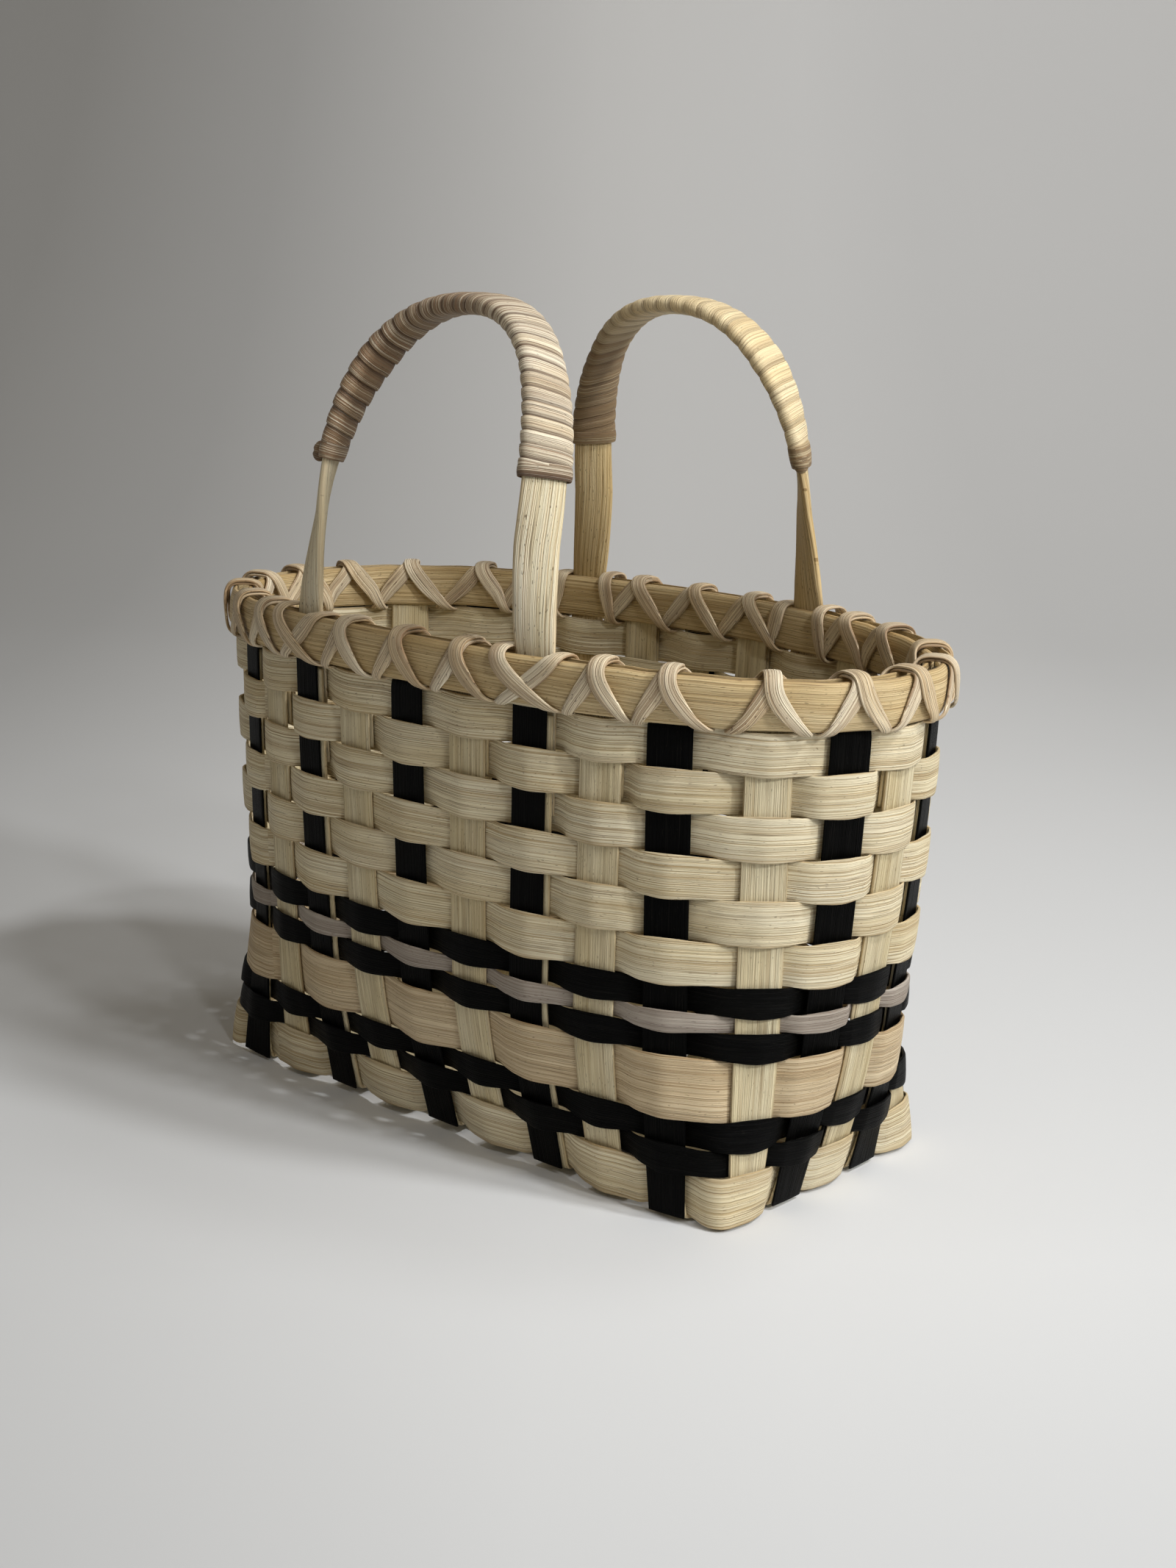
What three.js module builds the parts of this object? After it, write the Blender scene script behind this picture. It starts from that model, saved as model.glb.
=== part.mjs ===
// Tote basket woven from flat reed, with a lashed double rim and two wrapped handles.
// Millimetres, +Z up, +X along the basket. The origin is on the floor, under the middle.
import * as THREE from "three";

// Reed
const stakeWidth = 16;
const stakeThickness = 1.2;
const overlayThickness = 0.9;
const weaverThickness = 1.1;
const clearance = 0.3; // between any two pieces that lie on each other
const edgeClearance = 0.4; // beside the edge of a reed
const tuckClearance = 0.6; // each side of a stake's end where it is tucked into the weave

// Base: two crossing sets of stakes
const crossStakeCount = 9;
const longStakeCount = 5;
const crossPitch = 28;
const longPitch = 23.5;
const endMargin = 21.5; // from the outermost cross stake's middle to the end wall
const sideMargin = 15; // from the outermost long stake's middle to the side wall
const baseArch = 2.2; // the middle of the base stands this much higher than its ends

// Walls, from the base out to the belly, and then nearly straight up to the rim's lower edge
const wallHeight = 179;
const bellyRow = 5; // the belly is at the foot of this row
const bellyLength = 14.2; // from the base's end out to the belly
const bellyWidth = 16;
const bellySquareness = 2.55; // exponent of the oval: 2 is an ellipse
const bellyPitchLong = 27.8; // between uprights in the middle of a long side
const bellyPitchShort = 22.7;
const bellyCrowdLong = 0.002; // how the uprights draw together towards the corners
const bellyCrowdShort = 0.0104;
const flareLength = 9.9; // from the belly out to the rim
const flareWidth = 5.1;
const rimSquareness = 2.25;
const rimDip = 2.25; // the rim is this much lower at its two ends
const rimPitchLong = 29.9;
const rimPitchShort = 25.2;
const rimCrowdLong = 0.006;
const rimCrowdShort = 0.0165;

// Weaver rows
const footGap = 2.5; // from the base to the first row
const rowGap = 0.4;

// Rim
const bandHeight = 17;
const bandThickness = 3;
const bandBevel = 3;
const hiddenRowThickness = 1;
const hiddenRowFoot = 2; // the hidden row starts this far above the rim's lower edge
const hiddenRowTop = 3; // and ends this far below the rim's top

// Lashing: two strands, one turn of each at every upright
const lashWidth = 6;
const lashNeck = 3.6; // the strand is pinched to this where it passes through the wall
const lashThickness = 1;
const lashClearance = 0.5;
const lashRaise = 1.9; // the upper strand lies this much further out than the lower one
const lashSpread = 2.5; // the two strands pass this far each side of the middle of a gap
const lashPieces = 2; // each strand is made of this many lengths of reed

// Handles
const handleUpright = 2; // counted from the middle of a long side
const handleWidth = 16;
const handleThickness = 4.5;
const ovalFlat = 0.7; // share of the handle's width that is flat
const handleShoulder = 55.3; // half width of the arch where it starts
const handleLeg = 37; // height of the straight leg above the rim
const handleRise = 78.5; // height of the arch above the legs
const handleSquareness = 2.35;
const frontLean = 28; // the arch leans in over the basket by this much
const backLean = 16;
const twistAtWrap = 50; // degrees that the legs have turned out where the wrap starts
const tailThickness = 1.4; // the leg is pared to this where it is tucked in the weave

// Handle wraps
const wrapTurns = 24;
const wrapFoot = 57; // the wrap starts this high above the rim
const wrapWidth = 6.6;
const wrapThickness = 1;
const wrapClearance = 0.6;

const naturalColour = 0xd9cba3;
const blackColour = 0x16130f;
const lavenderColour = 0xb3a59a;
const rimColour = 0xcdb583;
const lashColour = 0xc4a684;

// Directions and sizes that follow
const up = new THREE.Vector3(0, 0, 1);
const endReach = ((crossStakeCount - 1) / 2) * crossPitch + endMargin;
const sideReach = ((longStakeCount - 1) / 2) * longPitch + sideMargin;
const lastCross = (crossStakeCount - 1) / 2;
const lastLong = (longStakeCount - 1) / 2;
const halfStake = stakeWidth / 2;
const stationReach = halfStake + 2 * edgeClearance;
const blackStack = (stakeThickness + clearance + overlayThickness) / 2;
const blackStakeOffset = -(clearance + overlayThickness) / 2;
const overlayOffset = (clearance + stakeThickness) / 2;
const slotHalf = hiddenRowThickness / 2 + clearance + stakeThickness + clearance;
const rimTop = wallHeight + bandHeight;
const leastTwist = THREE.MathUtils.degToRad(1); // a stake that twists less than this is kept flat
const lashDrop = lashClearance + lashThickness + clearance;
const besideLeg = (handleWidth + lashWidth) / 2 + 2 * edgeClearance;

// A closed band or an open strip from its cross-sections, with its faces turned outwards.
function sweep(sections, closed) {
  const sides = sections[0].length;
  const positions = sections.flat().flatMap((p) => [p.x, p.y, p.z]);
  const faces = [];
  const spans = closed ? sections.length : sections.length - 1;
  for (let i = 0; i < spans; i += 1) {
    const here = i * sides;
    const next = ((i + 1) % sections.length) * sides;
    for (let s = 0; s < sides; s += 1) {
      const t = (s + 1) % sides;
      // Opposite faces are split along the same diagonal, so that twisted strips nest.
      if (s < sides / 2) {
        faces.push(here + s, next + s, next + t, here + s, next + t, here + t);
      } else {
        faces.push(here + s, next + s, here + t, next + s, next + t, here + t);
      }
    }
  }
  if (!closed) {
    const last = (sections.length - 1) * sides;
    for (let s = 1; s < sides - 1; s += 1) {
      faces.push(0, s, s + 1, last, last + s + 1, last + s);
    }
  }
  const geometry = new THREE.BufferGeometry();
  geometry.setAttribute("position", new THREE.Float32BufferAttribute(positions, 3));
  geometry.setIndex(volumeOf(positions, faces) < 0 ? faces.reverse() : faces);
  geometry.computeVertexNormals();
  return geometry;
}

function volumeOf(positions, faces) {
  const corner = (i) => new THREE.Vector3().fromArray(positions, faces[i] * 3);
  let volume = 0;
  for (let i = 0; i < faces.length; i += 3) {
    volume += corner(i).dot(corner(i + 1).cross(corner(i + 2))) / 6;
  }
  return volume;
}

// Sections of a flat strip of reed through stations of point, normal, width and thickness.
// Each bend is mitred, so the strip keeps its thickness round it.
function stripSections(stations) {
  const ways = stations.slice(1).map(({ point }, i) => point.clone().sub(stations[i].point).normalize());
  return stations.map(({ point, normal, width, thickness }, i) => {
    const before = ways[Math.max(i - 1, 0)];
    const after = ways[Math.min(i, ways.length - 1)];
    const along = before.clone().add(after).normalize();
    const side = new THREE.Vector3().crossVectors(along, normal).normalize();
    const face = new THREE.Vector3().crossVectors(side, along).normalize();
    const across = side.multiplyScalar(width / 2);
    const through = face.multiplyScalar(thickness / 2 / along.dot(before));
    return [
      point.clone().add(across).add(through),
      point.clone().sub(across).add(through),
      point.clone().sub(across).sub(through),
      point.clone().add(across).sub(through),
    ];
  });
}

function strip(stations) {
  return sweep(stripSections(stations), false);
}

// The plan of the walls at the belly and at the rim: an oval, and where the uprights stand along it
const bellyOval = {
  reachX: endReach + bellyLength,
  reachY: sideReach + bellyWidth,
  squareness: bellySquareness,
  long: { pitch: bellyPitchLong, crowd: bellyCrowdLong },
  short: { pitch: bellyPitchShort, crowd: bellyCrowdShort },
};
const rimOval = {
  reachX: bellyOval.reachX + flareLength,
  reachY: bellyOval.reachY + flareWidth,
  squareness: rimSquareness,
  long: { pitch: rimPitchLong, crowd: rimCrowdLong },
  short: { pitch: rimPitchShort, crowd: rimCrowdShort },
};

function planPoint(wall, along, out) {
  return wall.along.clone().multiplyScalar(along).addScaledVector(wall.out, out);
}

// Where an upright stands on an oval, and the oval's outward direction there.
function standOn(oval, wall, index) {
  const long = wall.last === lastCross;
  const { pitch, crowd } = long ? oval.long : oval.short;
  const along = index * pitch * (1 - crowd * index * index);
  const [reachAlong, reachOut] = long ? [oval.reachX, oval.reachY] : [oval.reachY, oval.reachX];
  const share = Math.abs(along / reachAlong) ** oval.squareness;
  const place = planPoint(wall, along, reachOut * (1 - share) ** (1 / oval.squareness));
  const slope = (at, reach) => (Math.sign(at) * Math.abs(at / reach) ** (oval.squareness - 1)) / reach;
  const normal = new THREE.Vector2(slope(place.x, oval.reachX), slope(place.y, oval.reachY)).normalize();
  return { place, normal };
}

function archAt(index) {
  return baseArch * (1 - (index / lastCross) ** 2);
}

// Uprights: where each stake stands in the wall, at the base, the belly and the rim
const walls = [
  { name: "front", along: new THREE.Vector2(1, 0), out: new THREE.Vector2(0, -1), last: lastCross },
  { name: "right", along: new THREE.Vector2(0, 1), out: new THREE.Vector2(1, 0), last: lastLong },
  { name: "back", along: new THREE.Vector2(-1, 0), out: new THREE.Vector2(0, 1), last: lastCross },
  { name: "left", along: new THREE.Vector2(0, -1), out: new THREE.Vector2(-1, 0), last: lastLong },
];

function makeUpright(wall, index) {
  const long = wall.last === lastCross;
  const base = planPoint(wall, index * (long ? crossPitch : longPitch), long ? sideReach : endReach);
  const rim = standOn(rimOval, wall, index);
  return {
    wall: wall.name,
    index,
    black: long ? (index + lastCross) % 2 === 0 : (index + lastLong) % 2 === 1,
    handle: long && Math.abs(index) === handleUpright,
    base: { place: base, normal: wall.out },
    belly: standOn(bellyOval, wall, index),
    rim,
    foot: long ? archAt(index) : 0,
    top: wallHeight - rimDip * (rim.place.x / rimOval.reachX) ** 2,
  };
}

const uprights = walls.flatMap((wall) =>
  Array.from({ length: 2 * wall.last + 1 }, (_, i) => makeUpright(wall, i - wall.last)),
);

function uprightAt(i) {
  return uprights[(i + 2 * uprights.length) % uprights.length];
}

function findUprightIndex(wallName, index) {
  return uprights.findIndex((u) => u.wall === wallName && u.index === index);
}

function findUpright(wallName, index) {
  return uprights[findUprightIndex(wallName, index)];
}

// Directions and height of an upright's wall at a given height above the base.
function wallFrame(upright, height) {
  const low = height < bellyHeight;
  const [from, to] = low ? [upright.base, upright.belly] : [upright.belly, upright.rim];
  const span = low ? bellyHeight : wallHeight - bellyHeight;
  const share = Math.min((low ? height : height - bellyHeight) / span, 1);
  const middle = from.place.clone().lerp(to.place, share);
  const out = from.normal.clone().lerp(to.normal, share).normalize();
  const rise = (upright.top - upright.foot) / wallHeight;
  const z = upright.foot + rise * Math.min(height, wallHeight) + Math.max(height - wallHeight, 0);
  return {
    origin: new THREE.Vector3(middle.x, middle.y, z),
    out: new THREE.Vector3(out.x, out.y, 0),
    along: new THREE.Vector3(-out.y, out.x, 0),
  };
}

function wallPoint(upright, height, offset, lateral = 0) {
  const { origin, out, along } = wallFrame(upright, height);
  return origin.addScaledVector(out, offset).addScaledVector(along, lateral);
}

// A point beside an upright, going on towards its neighbour in the gap between them.
function besideUpright(i, lateral, height, offset) {
  const own = uprightAt(i);
  if (Math.abs(lateral) <= stationReach) {
    return wallPoint(own, height, offset, lateral);
  }
  const way = Math.sign(lateral);
  const from = wallPoint(own, height, offset, way * stationReach);
  const to = wallPoint(uprightAt(i + way), height, offset, -way * stationReach);
  return from.lerp(to, (Math.abs(lateral) - stationReach) / gapBeside(i, way));
}

function gapBeside(i, way) {
  const from = wallPoint(uprightAt(i), wallHeight, 0, way * stationReach);
  const to = wallPoint(uprightAt(i + way), wallHeight, 0, -way * stationReach);
  return from.distanceTo(to);
}

// Weaver rows from the bottom up: each one's share of the wall, as its height in this basket
const natural = (share) => ({ share, colour: naturalColour });
const black = (share) => ({ share, colour: blackColour });
const lavender = (share) => ({ share, colour: lavenderColour });
const rows = [
  natural(16.4),
  black(9.4),
  black(9.8),
  natural(22.5),
  black(9.6),
  lavender(6.9),
  black(10.1),
  natural(15.8),
  natural(15.7),
  natural(15.1),
  natural(15),
  natural(14.9),
  natural(14.1),
];
const rowsHeight = wallHeight - lashDrop + rowGap - footGap;
const shares = rows.reduce((sum, row) => sum + row.share, 0);
rows.forEach((row) => {
  row.height = (row.share * rowsHeight) / shares;
});
const rowFoot = (n) => rows.slice(0, n).reduce((sum, row) => sum + row.height, footGap);
const bellyHeight = rowFoot(bellyRow);
const tuckRow = rows.length - 2; // the folded ends of the natural stakes end behind this row
const legRows = [rows.length - 1, rows.length - 3]; // the handle legs pass behind these

// How far the pieces that a row passes reach inwards and outwards at an upright.
function innerReach(upright, n) {
  if (!upright.black) {
    const tail = 2 * tuckClearance - clearance + stakeThickness;
    return stakeThickness / 2 + (n === tuckRow ? tail : 0);
  }
  return blackStack + (upright.handle && legRows.includes(n) ? clearance + tailThickness : 0);
}

function outerReach(upright) {
  return upright.black ? blackStack : stakeThickness / 2;
}

// A row is a closed ring: outside at every other upright, inside at those between.
function weaverRow(n) {
  const foot = rowFoot(n);
  const height = rows[n].height - rowGap;
  const sections = uprights.flatMap((upright) => {
    const outside = upright.black === (n % 2 === 1);
    const reach = outside ? outerReach(upright) : -innerReach(upright, n);
    const gap = Math.sign(reach) * clearance;
    const near = reach + gap;
    const far = near + Math.sign(reach) * weaverThickness;
    const inner = Math.min(near, far);
    const outer = Math.max(near, far);
    return ringSections(upright, foot, foot + height, inner, outer);
  });
  return sweep(sections, true);
}

// Two upright rectangles, one at each edge of a stake.
function ringSections(upright, low, high, inner, outer) {
  return [-stationReach, stationReach].map((lateral) => [
    wallPoint(upright, high, inner, lateral),
    wallPoint(upright, low, inner, lateral),
    wallPoint(upright, low, outer, lateral),
    wallPoint(upright, high, outer, lateral),
  ]);
}

// The hidden row between the rim's two bands keeps nearly straight.
function hiddenRow() {
  const low = wallHeight + hiddenRowFoot;
  const high = rimTop - hiddenRowTop;
  const half = hiddenRowThickness / 2;
  const sections = uprights.flatMap((upright) => {
    const middle = upright.handle ? slotHalf - clearance - half : 0;
    return ringSections(upright, low, high, middle - half, middle + half);
  });
  return sweep(sections, true);
}

// Outer and inner rim band: flat inside, bevelled outside.
function rimBand(sign) {
  const low = wallHeight;
  const face = slotHalf;
  const shoulder = slotHalf + bandThickness * 0.4;
  const crown = slotHalf + bandThickness;
  const profile = [
    [face, low],
    [shoulder, low],
    [crown, low + bandBevel],
    [crown, rimTop - bandBevel],
    [shoulder, rimTop],
    [face, rimTop],
  ];
  const sections = uprights.flatMap((upright) =>
    [-stationReach, stationReach].map((lateral) =>
      profile.map(([offset, height]) => wallPoint(upright, height, sign * offset, lateral)),
    ),
  );
  return sweep(sections, true);
}

// One station of a stake in a wall. turn is 0 facing out, 90 facing up, -90 facing down.
function wallStation(upright, height, offset, turn = 0) {
  const { out } = wallFrame(upright, height);
  const angle = THREE.MathUtils.degToRad(turn);
  const normal = out.multiplyScalar(Math.cos(angle)).addScaledVector(up, Math.sin(angle));
  const point = wallPoint(upright, height, offset);
  return { point, normal, width: stakeWidth, thickness: stakeThickness };
}

// Heights at which a stake has a station in the wall: at the belly, and at rows' feet where it twists.
function stationHeights({ base, belly, rim }) {
  const twists = (from, to) => from.normal.angleTo(to.normal) > leastTwist;
  const feet = rows.map((_, n) => rowFoot(n));
  const low = twists(base, belly) ? feet.slice(0, bellyRow) : [];
  const high = twists(belly, rim) ? feet.slice(bellyRow + 1).filter((_, n) => n % 3 === 1) : [];
  return [...low, bellyHeight, ...high];
}

// A stake's run from its upper end down one wall to the bend at the base.
function wallRun(upright) {
  const offset = upright.black ? blackStakeOffset : 0;
  const heights = stationHeights(upright).reverse();
  const straight = heights.map((height) => wallStation(upright, height, offset));
  const floorGap = upright.black ? edgeClearance : 0; // its last crossing in the base is a high one
  const bend = wallStation(upright, stakeThickness / 2 + floorGap, offset, -45);
  const head = upright.black
    ? [wallStation(upright, wallHeight - lashDrop - 2 * clearance - stakeThickness, offset)]
    : foldedHead(upright);
  return [...head, ...straight, bend];
}

// A natural stake is folded over the hidden row, and its end is tucked behind a row inside.
function foldedHead(upright) {
  const tailOffset = -(stakeThickness + tuckClearance);
  const slotOffset = hiddenRowThickness / 2 + clearance + stakeThickness / 2;
  const below = wallHeight - lashDrop - lashThickness - clearance;
  const above = wallHeight + hiddenRowFoot;
  const fold = rimTop - hiddenRowTop + clearance + stakeThickness / 2;
  const end = rowFoot(tuckRow) + 3 * clearance;
  return [
    wallStation(upright, end, tailOffset, 180),
    wallStation(upright, (end + below) / 2, tailOffset, 180),
    wallStation(upright, below, tailOffset, 180),
    wallStation(upright, wallHeight - clearance, -slotOffset, 180),
    wallStation(upright, fold, -slotOffset, 135),
    wallStation(upright, fold, slotOffset, 45),
    wallStation(upright, above, slotOffset),
    wallStation(upright, wallHeight - lashDrop + clearance, 0),
  ];
}

// Where one stake passes over or under another in the base
function baseLevel(cross, long, isCross) {
  const crossIsAbove = (cross + lastCross + long + lastLong) % 2 === 0;
  const above = isCross === crossIsAbove;
  return stakeThickness / 2 + (above ? stakeThickness + clearance : 0) + archAt(cross);
}

function baseStation(x, y, z) {
  const point = new THREE.Vector3(x, y, z);
  return { point, normal: new THREE.Vector3(0, 0, -1), width: stakeWidth, thickness: stakeThickness };
}

function crossStake(index) {
  const x = index * crossPitch;
  const reach = halfStake + edgeClearance;
  const floor = [];
  for (let long = -lastLong; long <= lastLong; long += 1) {
    const z = baseLevel(index, long, true);
    floor.push(baseStation(x, long * longPitch - reach, z));
    floor.push(baseStation(x, long * longPitch + reach, z));
  }
  const back = wallRun(findUpright("back", -index)).reverse();
  return strip([...wallRun(findUpright("front", index)), ...floor, ...back]);
}

function longStake(index) {
  const y = index * longPitch;
  const reach = halfStake + edgeClearance;
  const floor = [];
  for (let cross = -lastCross; cross <= lastCross; cross += 1) {
    const z = baseLevel(cross, index, false);
    floor.push(baseStation(cross * crossPitch - reach, y, z));
    floor.push(baseStation(cross * crossPitch + reach, y, z));
  }
  const right = wallRun(findUpright("right", index)).reverse();
  return strip([...wallRun(findUpright("left", -index)), ...floor, ...right]);
}

// A black strip lies on the outside of every other upright, from the base's bend into the rim.
function blackOverlay(upright) {
  const station = (height, offset) => ({
    ...wallStation(upright, height, offset),
    thickness: overlayThickness,
  });
  const slotOffset = -(hiddenRowThickness / 2 + clearance + overlayThickness / 2);
  const below = wallHeight - lashDrop;
  const foot = stakeThickness + clearance;
  const wallPart = [foot, ...stationHeights(upright), below];
  const head = upright.handle
    ? [station(wallHeight + edgeClearance, overlayOffset)]
    : [
        station(wallHeight + hiddenRowFoot - edgeClearance, slotOffset),
        station(rimTop - hiddenRowTop, slotOffset),
      ];
  return strip([...wallPart.map((height) => station(height, overlayOffset)), ...head]);
}

// Lashing. Each strand goes over the rim at every upright and under it in every gap.
// A section is level, with its leading edge first, and has the strand's outer face first.
function lashSection(i, way, lateral, width, outerFace, innerFace) {
  const corner = (edge, [offset, height]) =>
    besideUpright(i, way * (lateral + (edge * width) / 2), height, offset);
  return [
    corner(1, outerFace),
    corner(-1, outerFace),
    corner(-1, innerFace),
    corner(1, innerFace),
  ];
}

// way is 1 for the strand that runs with the uprights' order, and -1 for the one against it.
function lashing(way, raise, start, turns) {
  const near = slotHalf + bandThickness + lashClearance;
  const far = near + lashThickness;
  const crown = rimTop + lashClearance;
  const floor = wallHeight - lashClearance;
  const sections = [];
  for (let turn = 0; turn < turns; turn += 1) {
    const i = start + way * turn;
    const half = stationReach + gapBeside(i, way) / 2;
    const top = uprightAt(i).handle ? -besideLeg : 0;
    const foot = half - lashSpread;
    const share = uprightAt(i).handle ? 0.7 : 0.4; // the strands have parted this far down
    const part = top + (foot - top) * share;
    const partWidth = uprightAt(i).handle ? lashWidth * 1.4 : lashWidth * 1.15;
    const partHeight = crown + (floor - crown) * share;
    const topIn = near + raise;
    const topOut = far + raise;
    const low = floor - lashThickness;
    const high = crown + lashThickness + raise;
    sections.push(
      lashSection(i, way, top, lashWidth, [-topOut, high], [-topIn, crown + raise]),
      lashSection(i, way, top, lashWidth, [topOut, high], [topIn, crown + raise]),
      lashSection(i, way, part, partWidth, [topOut, partHeight], [topIn, partHeight]),
      lashSection(i, way, foot, lashNeck, [far, low], [near, floor]),
      lashSection(i + way, way, foot - 2 * half, lashNeck, [-topOut, low], [-topIn, floor]),
    );
  }
  // The end stops on the inside, just short of the top.
  const last = start + way * turns;
  const lastTop = uprightAt(last).handle ? -besideLeg : 0;
  const lastFoot = -stationReach - gapBeside(last, -way) / 2 - lashSpread;
  const stop = 0.8;
  const lateral = lastFoot + (lastTop - lastFoot) * stop;
  const height = floor + (crown - floor) * stop;
  const width = lashNeck + (lashWidth - lashNeck) * stop;
  const faces = [far, near].map((offset) => [-offset - raise, height]);
  sections.push(lashSection(last, way, lateral, width, ...faces));
  return sections;
}

// Least gap between corners of a winding's loops, for corners more than half a turn apart.
function leastGap(sections, perTurn) {
  const steps = 6;
  const loops = [];
  for (let i = 0; i < sections.length - 1; i += 1) {
    for (let step = 0; step < steps; step += 1) {
      loops.push(sections[i].map((p, s) => p.clone().lerp(sections[i + 1][s], step / steps)));
    }
  }
  let least = Infinity;
  for (let i = 0; i < loops.length; i += 1) {
    for (let j = i + Math.ceil((perTurn * steps) / 2); j < loops.length; j += 1) {
      for (const p of loops[i]) {
        for (const q of loops[j]) {
          least = Math.min(least, p.distanceTo(q));
        }
      }
    }
  }
  return least;
}

// Handles
function leanAt(lean, height) {
  const share = Math.max(height, 0) / (handleLeg + handleRise);
  return lean * share * share;
}

// The handle's middle line above the rim: legs, then a squarish arch. angle runs 0 to 180.
function archPoint(side, angle) {
  const cos = Math.cos(angle);
  const sin = Math.sin(angle);
  const x = -handleShoulder * Math.sign(cos) * Math.abs(cos) ** (2 / handleSquareness);
  const height = handleLeg + handleRise * Math.max(sin, 0) ** (2 / handleSquareness);
  return handlePlace(side, x, height);
}

function handlePlace(side, x, height) {
  const y = side.outY - leanAt(side.lean, height);
  return new THREE.Vector3(x, side.sign * y, side.rimZ + height);
}

// Degrees that the strip is turned from facing across the basket to facing away from the arch.
function twistAt(side, height) {
  if (height < wrapFoot) {
    return side.wallTurn + (twistAtWrap - side.wallTurn) * (height / wrapFoot);
  }
  const turned = handleLeg + handleRise * 0.75;
  const share = Math.min((height - wrapFoot) / (turned - wrapFoot), 1);
  return twistAtWrap + (90 - twistAtWrap) * share;
}

function handleSide(name, sign, lean) {
  const left = findUpright(name, sign < 0 ? -handleUpright : handleUpright);
  const right = findUpright(name, sign < 0 ? handleUpright : -handleUpright);
  const legSlot = 2 * slotHalf - hiddenRowThickness - 3 * clearance;
  const seat = wallPoint(right, rimTop, -slotHalf + clearance + legSlot / 2);
  return {
    name,
    sign,
    lean,
    left,
    right,
    legSlot,
    wallTurn: Math.asin(Math.abs(right.rim.normal.x)) * THREE.MathUtils.RAD2DEG,
    seatX: seat.x,
    outY: Math.abs(seat.y),
    rimZ: seat.z,
  };
}

// Stations of the handle from one tucked end, up the leg, over the arch and down again.
function handleStations(side) {
  const archSteps = 36;
  const legs = [0, 4, 10, 22].map((height) => {
    const share = height / handleLeg;
    return { x: -(side.seatX + (handleShoulder - side.seatX) * share), height };
  });
  const rising = legs.map(({ x, height }) => handlePlace(side, x, height));
  const arch = Array.from({ length: archSteps + 1 }, (_, i) =>
    archPoint(side, (Math.PI * i) / archSteps),
  );
  const falling = legs.map(({ x, height }) => handlePlace(side, -x, height)).reverse();
  return [...rising, ...arch, ...falling];
}

// The strip's directions along the handle's middle line.
function handleFrames(side, points) {
  return points.map((point, i) => {
    const before = points[Math.max(i - 1, 0)];
    const after = points[Math.min(i + 1, points.length - 1)];
    const along = after.clone().sub(before).normalize();
    const outward = new THREE.Vector3(0, side.sign, 0);
    const radial = new THREE.Vector3().crossVectors(along, outward).normalize();
    if (radial.z < 0 || (Math.abs(radial.z) < 1e-6 && radial.x * point.x < 0)) {
      radial.negate();
    }
    const across = new THREE.Vector3().crossVectors(radial, along).normalize();
    if (across.y * side.sign < 0) {
      across.negate();
    }
    const twist = THREE.MathUtils.degToRad(twistAt(side, point.z - side.rimZ));
    const normal = across.clone().multiplyScalar(Math.cos(twist));
    normal.addScaledVector(radial, Math.sin(twist));
    const width = new THREE.Vector3().crossVectors(along, normal).normalize();
    return { point, along, normal, width };
  });
}

// Six corners of a flat oval: half width, half thickness, and how far the flat part reaches.
function ovalSection(point, width, normal, inner, outer, halfWidth) {
  const middle = (inner + outer) / 2;
  const flat = halfWidth * ovalFlat;
  return [
    [halfWidth, middle],
    [flat, outer],
    [-flat, outer],
    [-halfWidth, middle],
    [-flat, inner],
    [flat, inner],
  ].map(([w, n]) => point.clone().addScaledVector(width, w).addScaledVector(normal, n));
}

// A leg's tucked part, from its pared end inside the wall up to the top of the rim.
function legSections(upright, sideSign) {
  const tailOuter = -(blackStack + clearance);
  const tailInner = tailOuter - tailThickness;
  const slotInner = -slotHalf + clearance;
  const slotOuter = slotHalf - hiddenRowThickness - 2 * clearance;
  const tailFoot = rowFoot(legRows[1]) + rows[legRows[1]].height * 0.35;
  const steps = [
    [tailFoot, tailInner, tailOuter],
    [wallHeight - lashDrop - stakeThickness, tailInner, tailOuter],
    [wallHeight - edgeClearance, slotInner, slotInner + tailThickness],
    [wallHeight + 3, slotInner, slotOuter],
    [rimTop - 1, slotInner, slotOuter],
  ];
  return steps.map(([height, inner, outer]) => {
    const { out, along } = wallFrame(upright, height);
    const point = wallPoint(upright, height, 0);
    return ovalSection(point, along.multiplyScalar(sideSign), out, inner, outer, handleWidth / 2);
  });
}

function handle(side) {
  const directions = handleFrames(side, handleStations(side));
  const body = directions.map(({ point, width, normal }) => {
    const grown = Math.min(Math.max((point.z - side.rimZ) / 10, 0), 1);
    const half = (side.legSlot + (handleThickness - side.legSlot) * grown) / 2;
    return ovalSection(point, width, normal, -half, half, handleWidth / 2);
  });
  const risingSign = Math.sign(directions[0].width.dot(wallFrame(side.left, rimTop).along));
  const fallingFrame = directions[directions.length - 1];
  const fallingSign = Math.sign(fallingFrame.width.dot(wallFrame(side.right, rimTop).along));
  const rising = legSections(side.left, risingSign);
  const falling = legSections(side.right, fallingSign).reverse();
  return sweep([...rising, ...body, ...falling], false);
}

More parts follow.
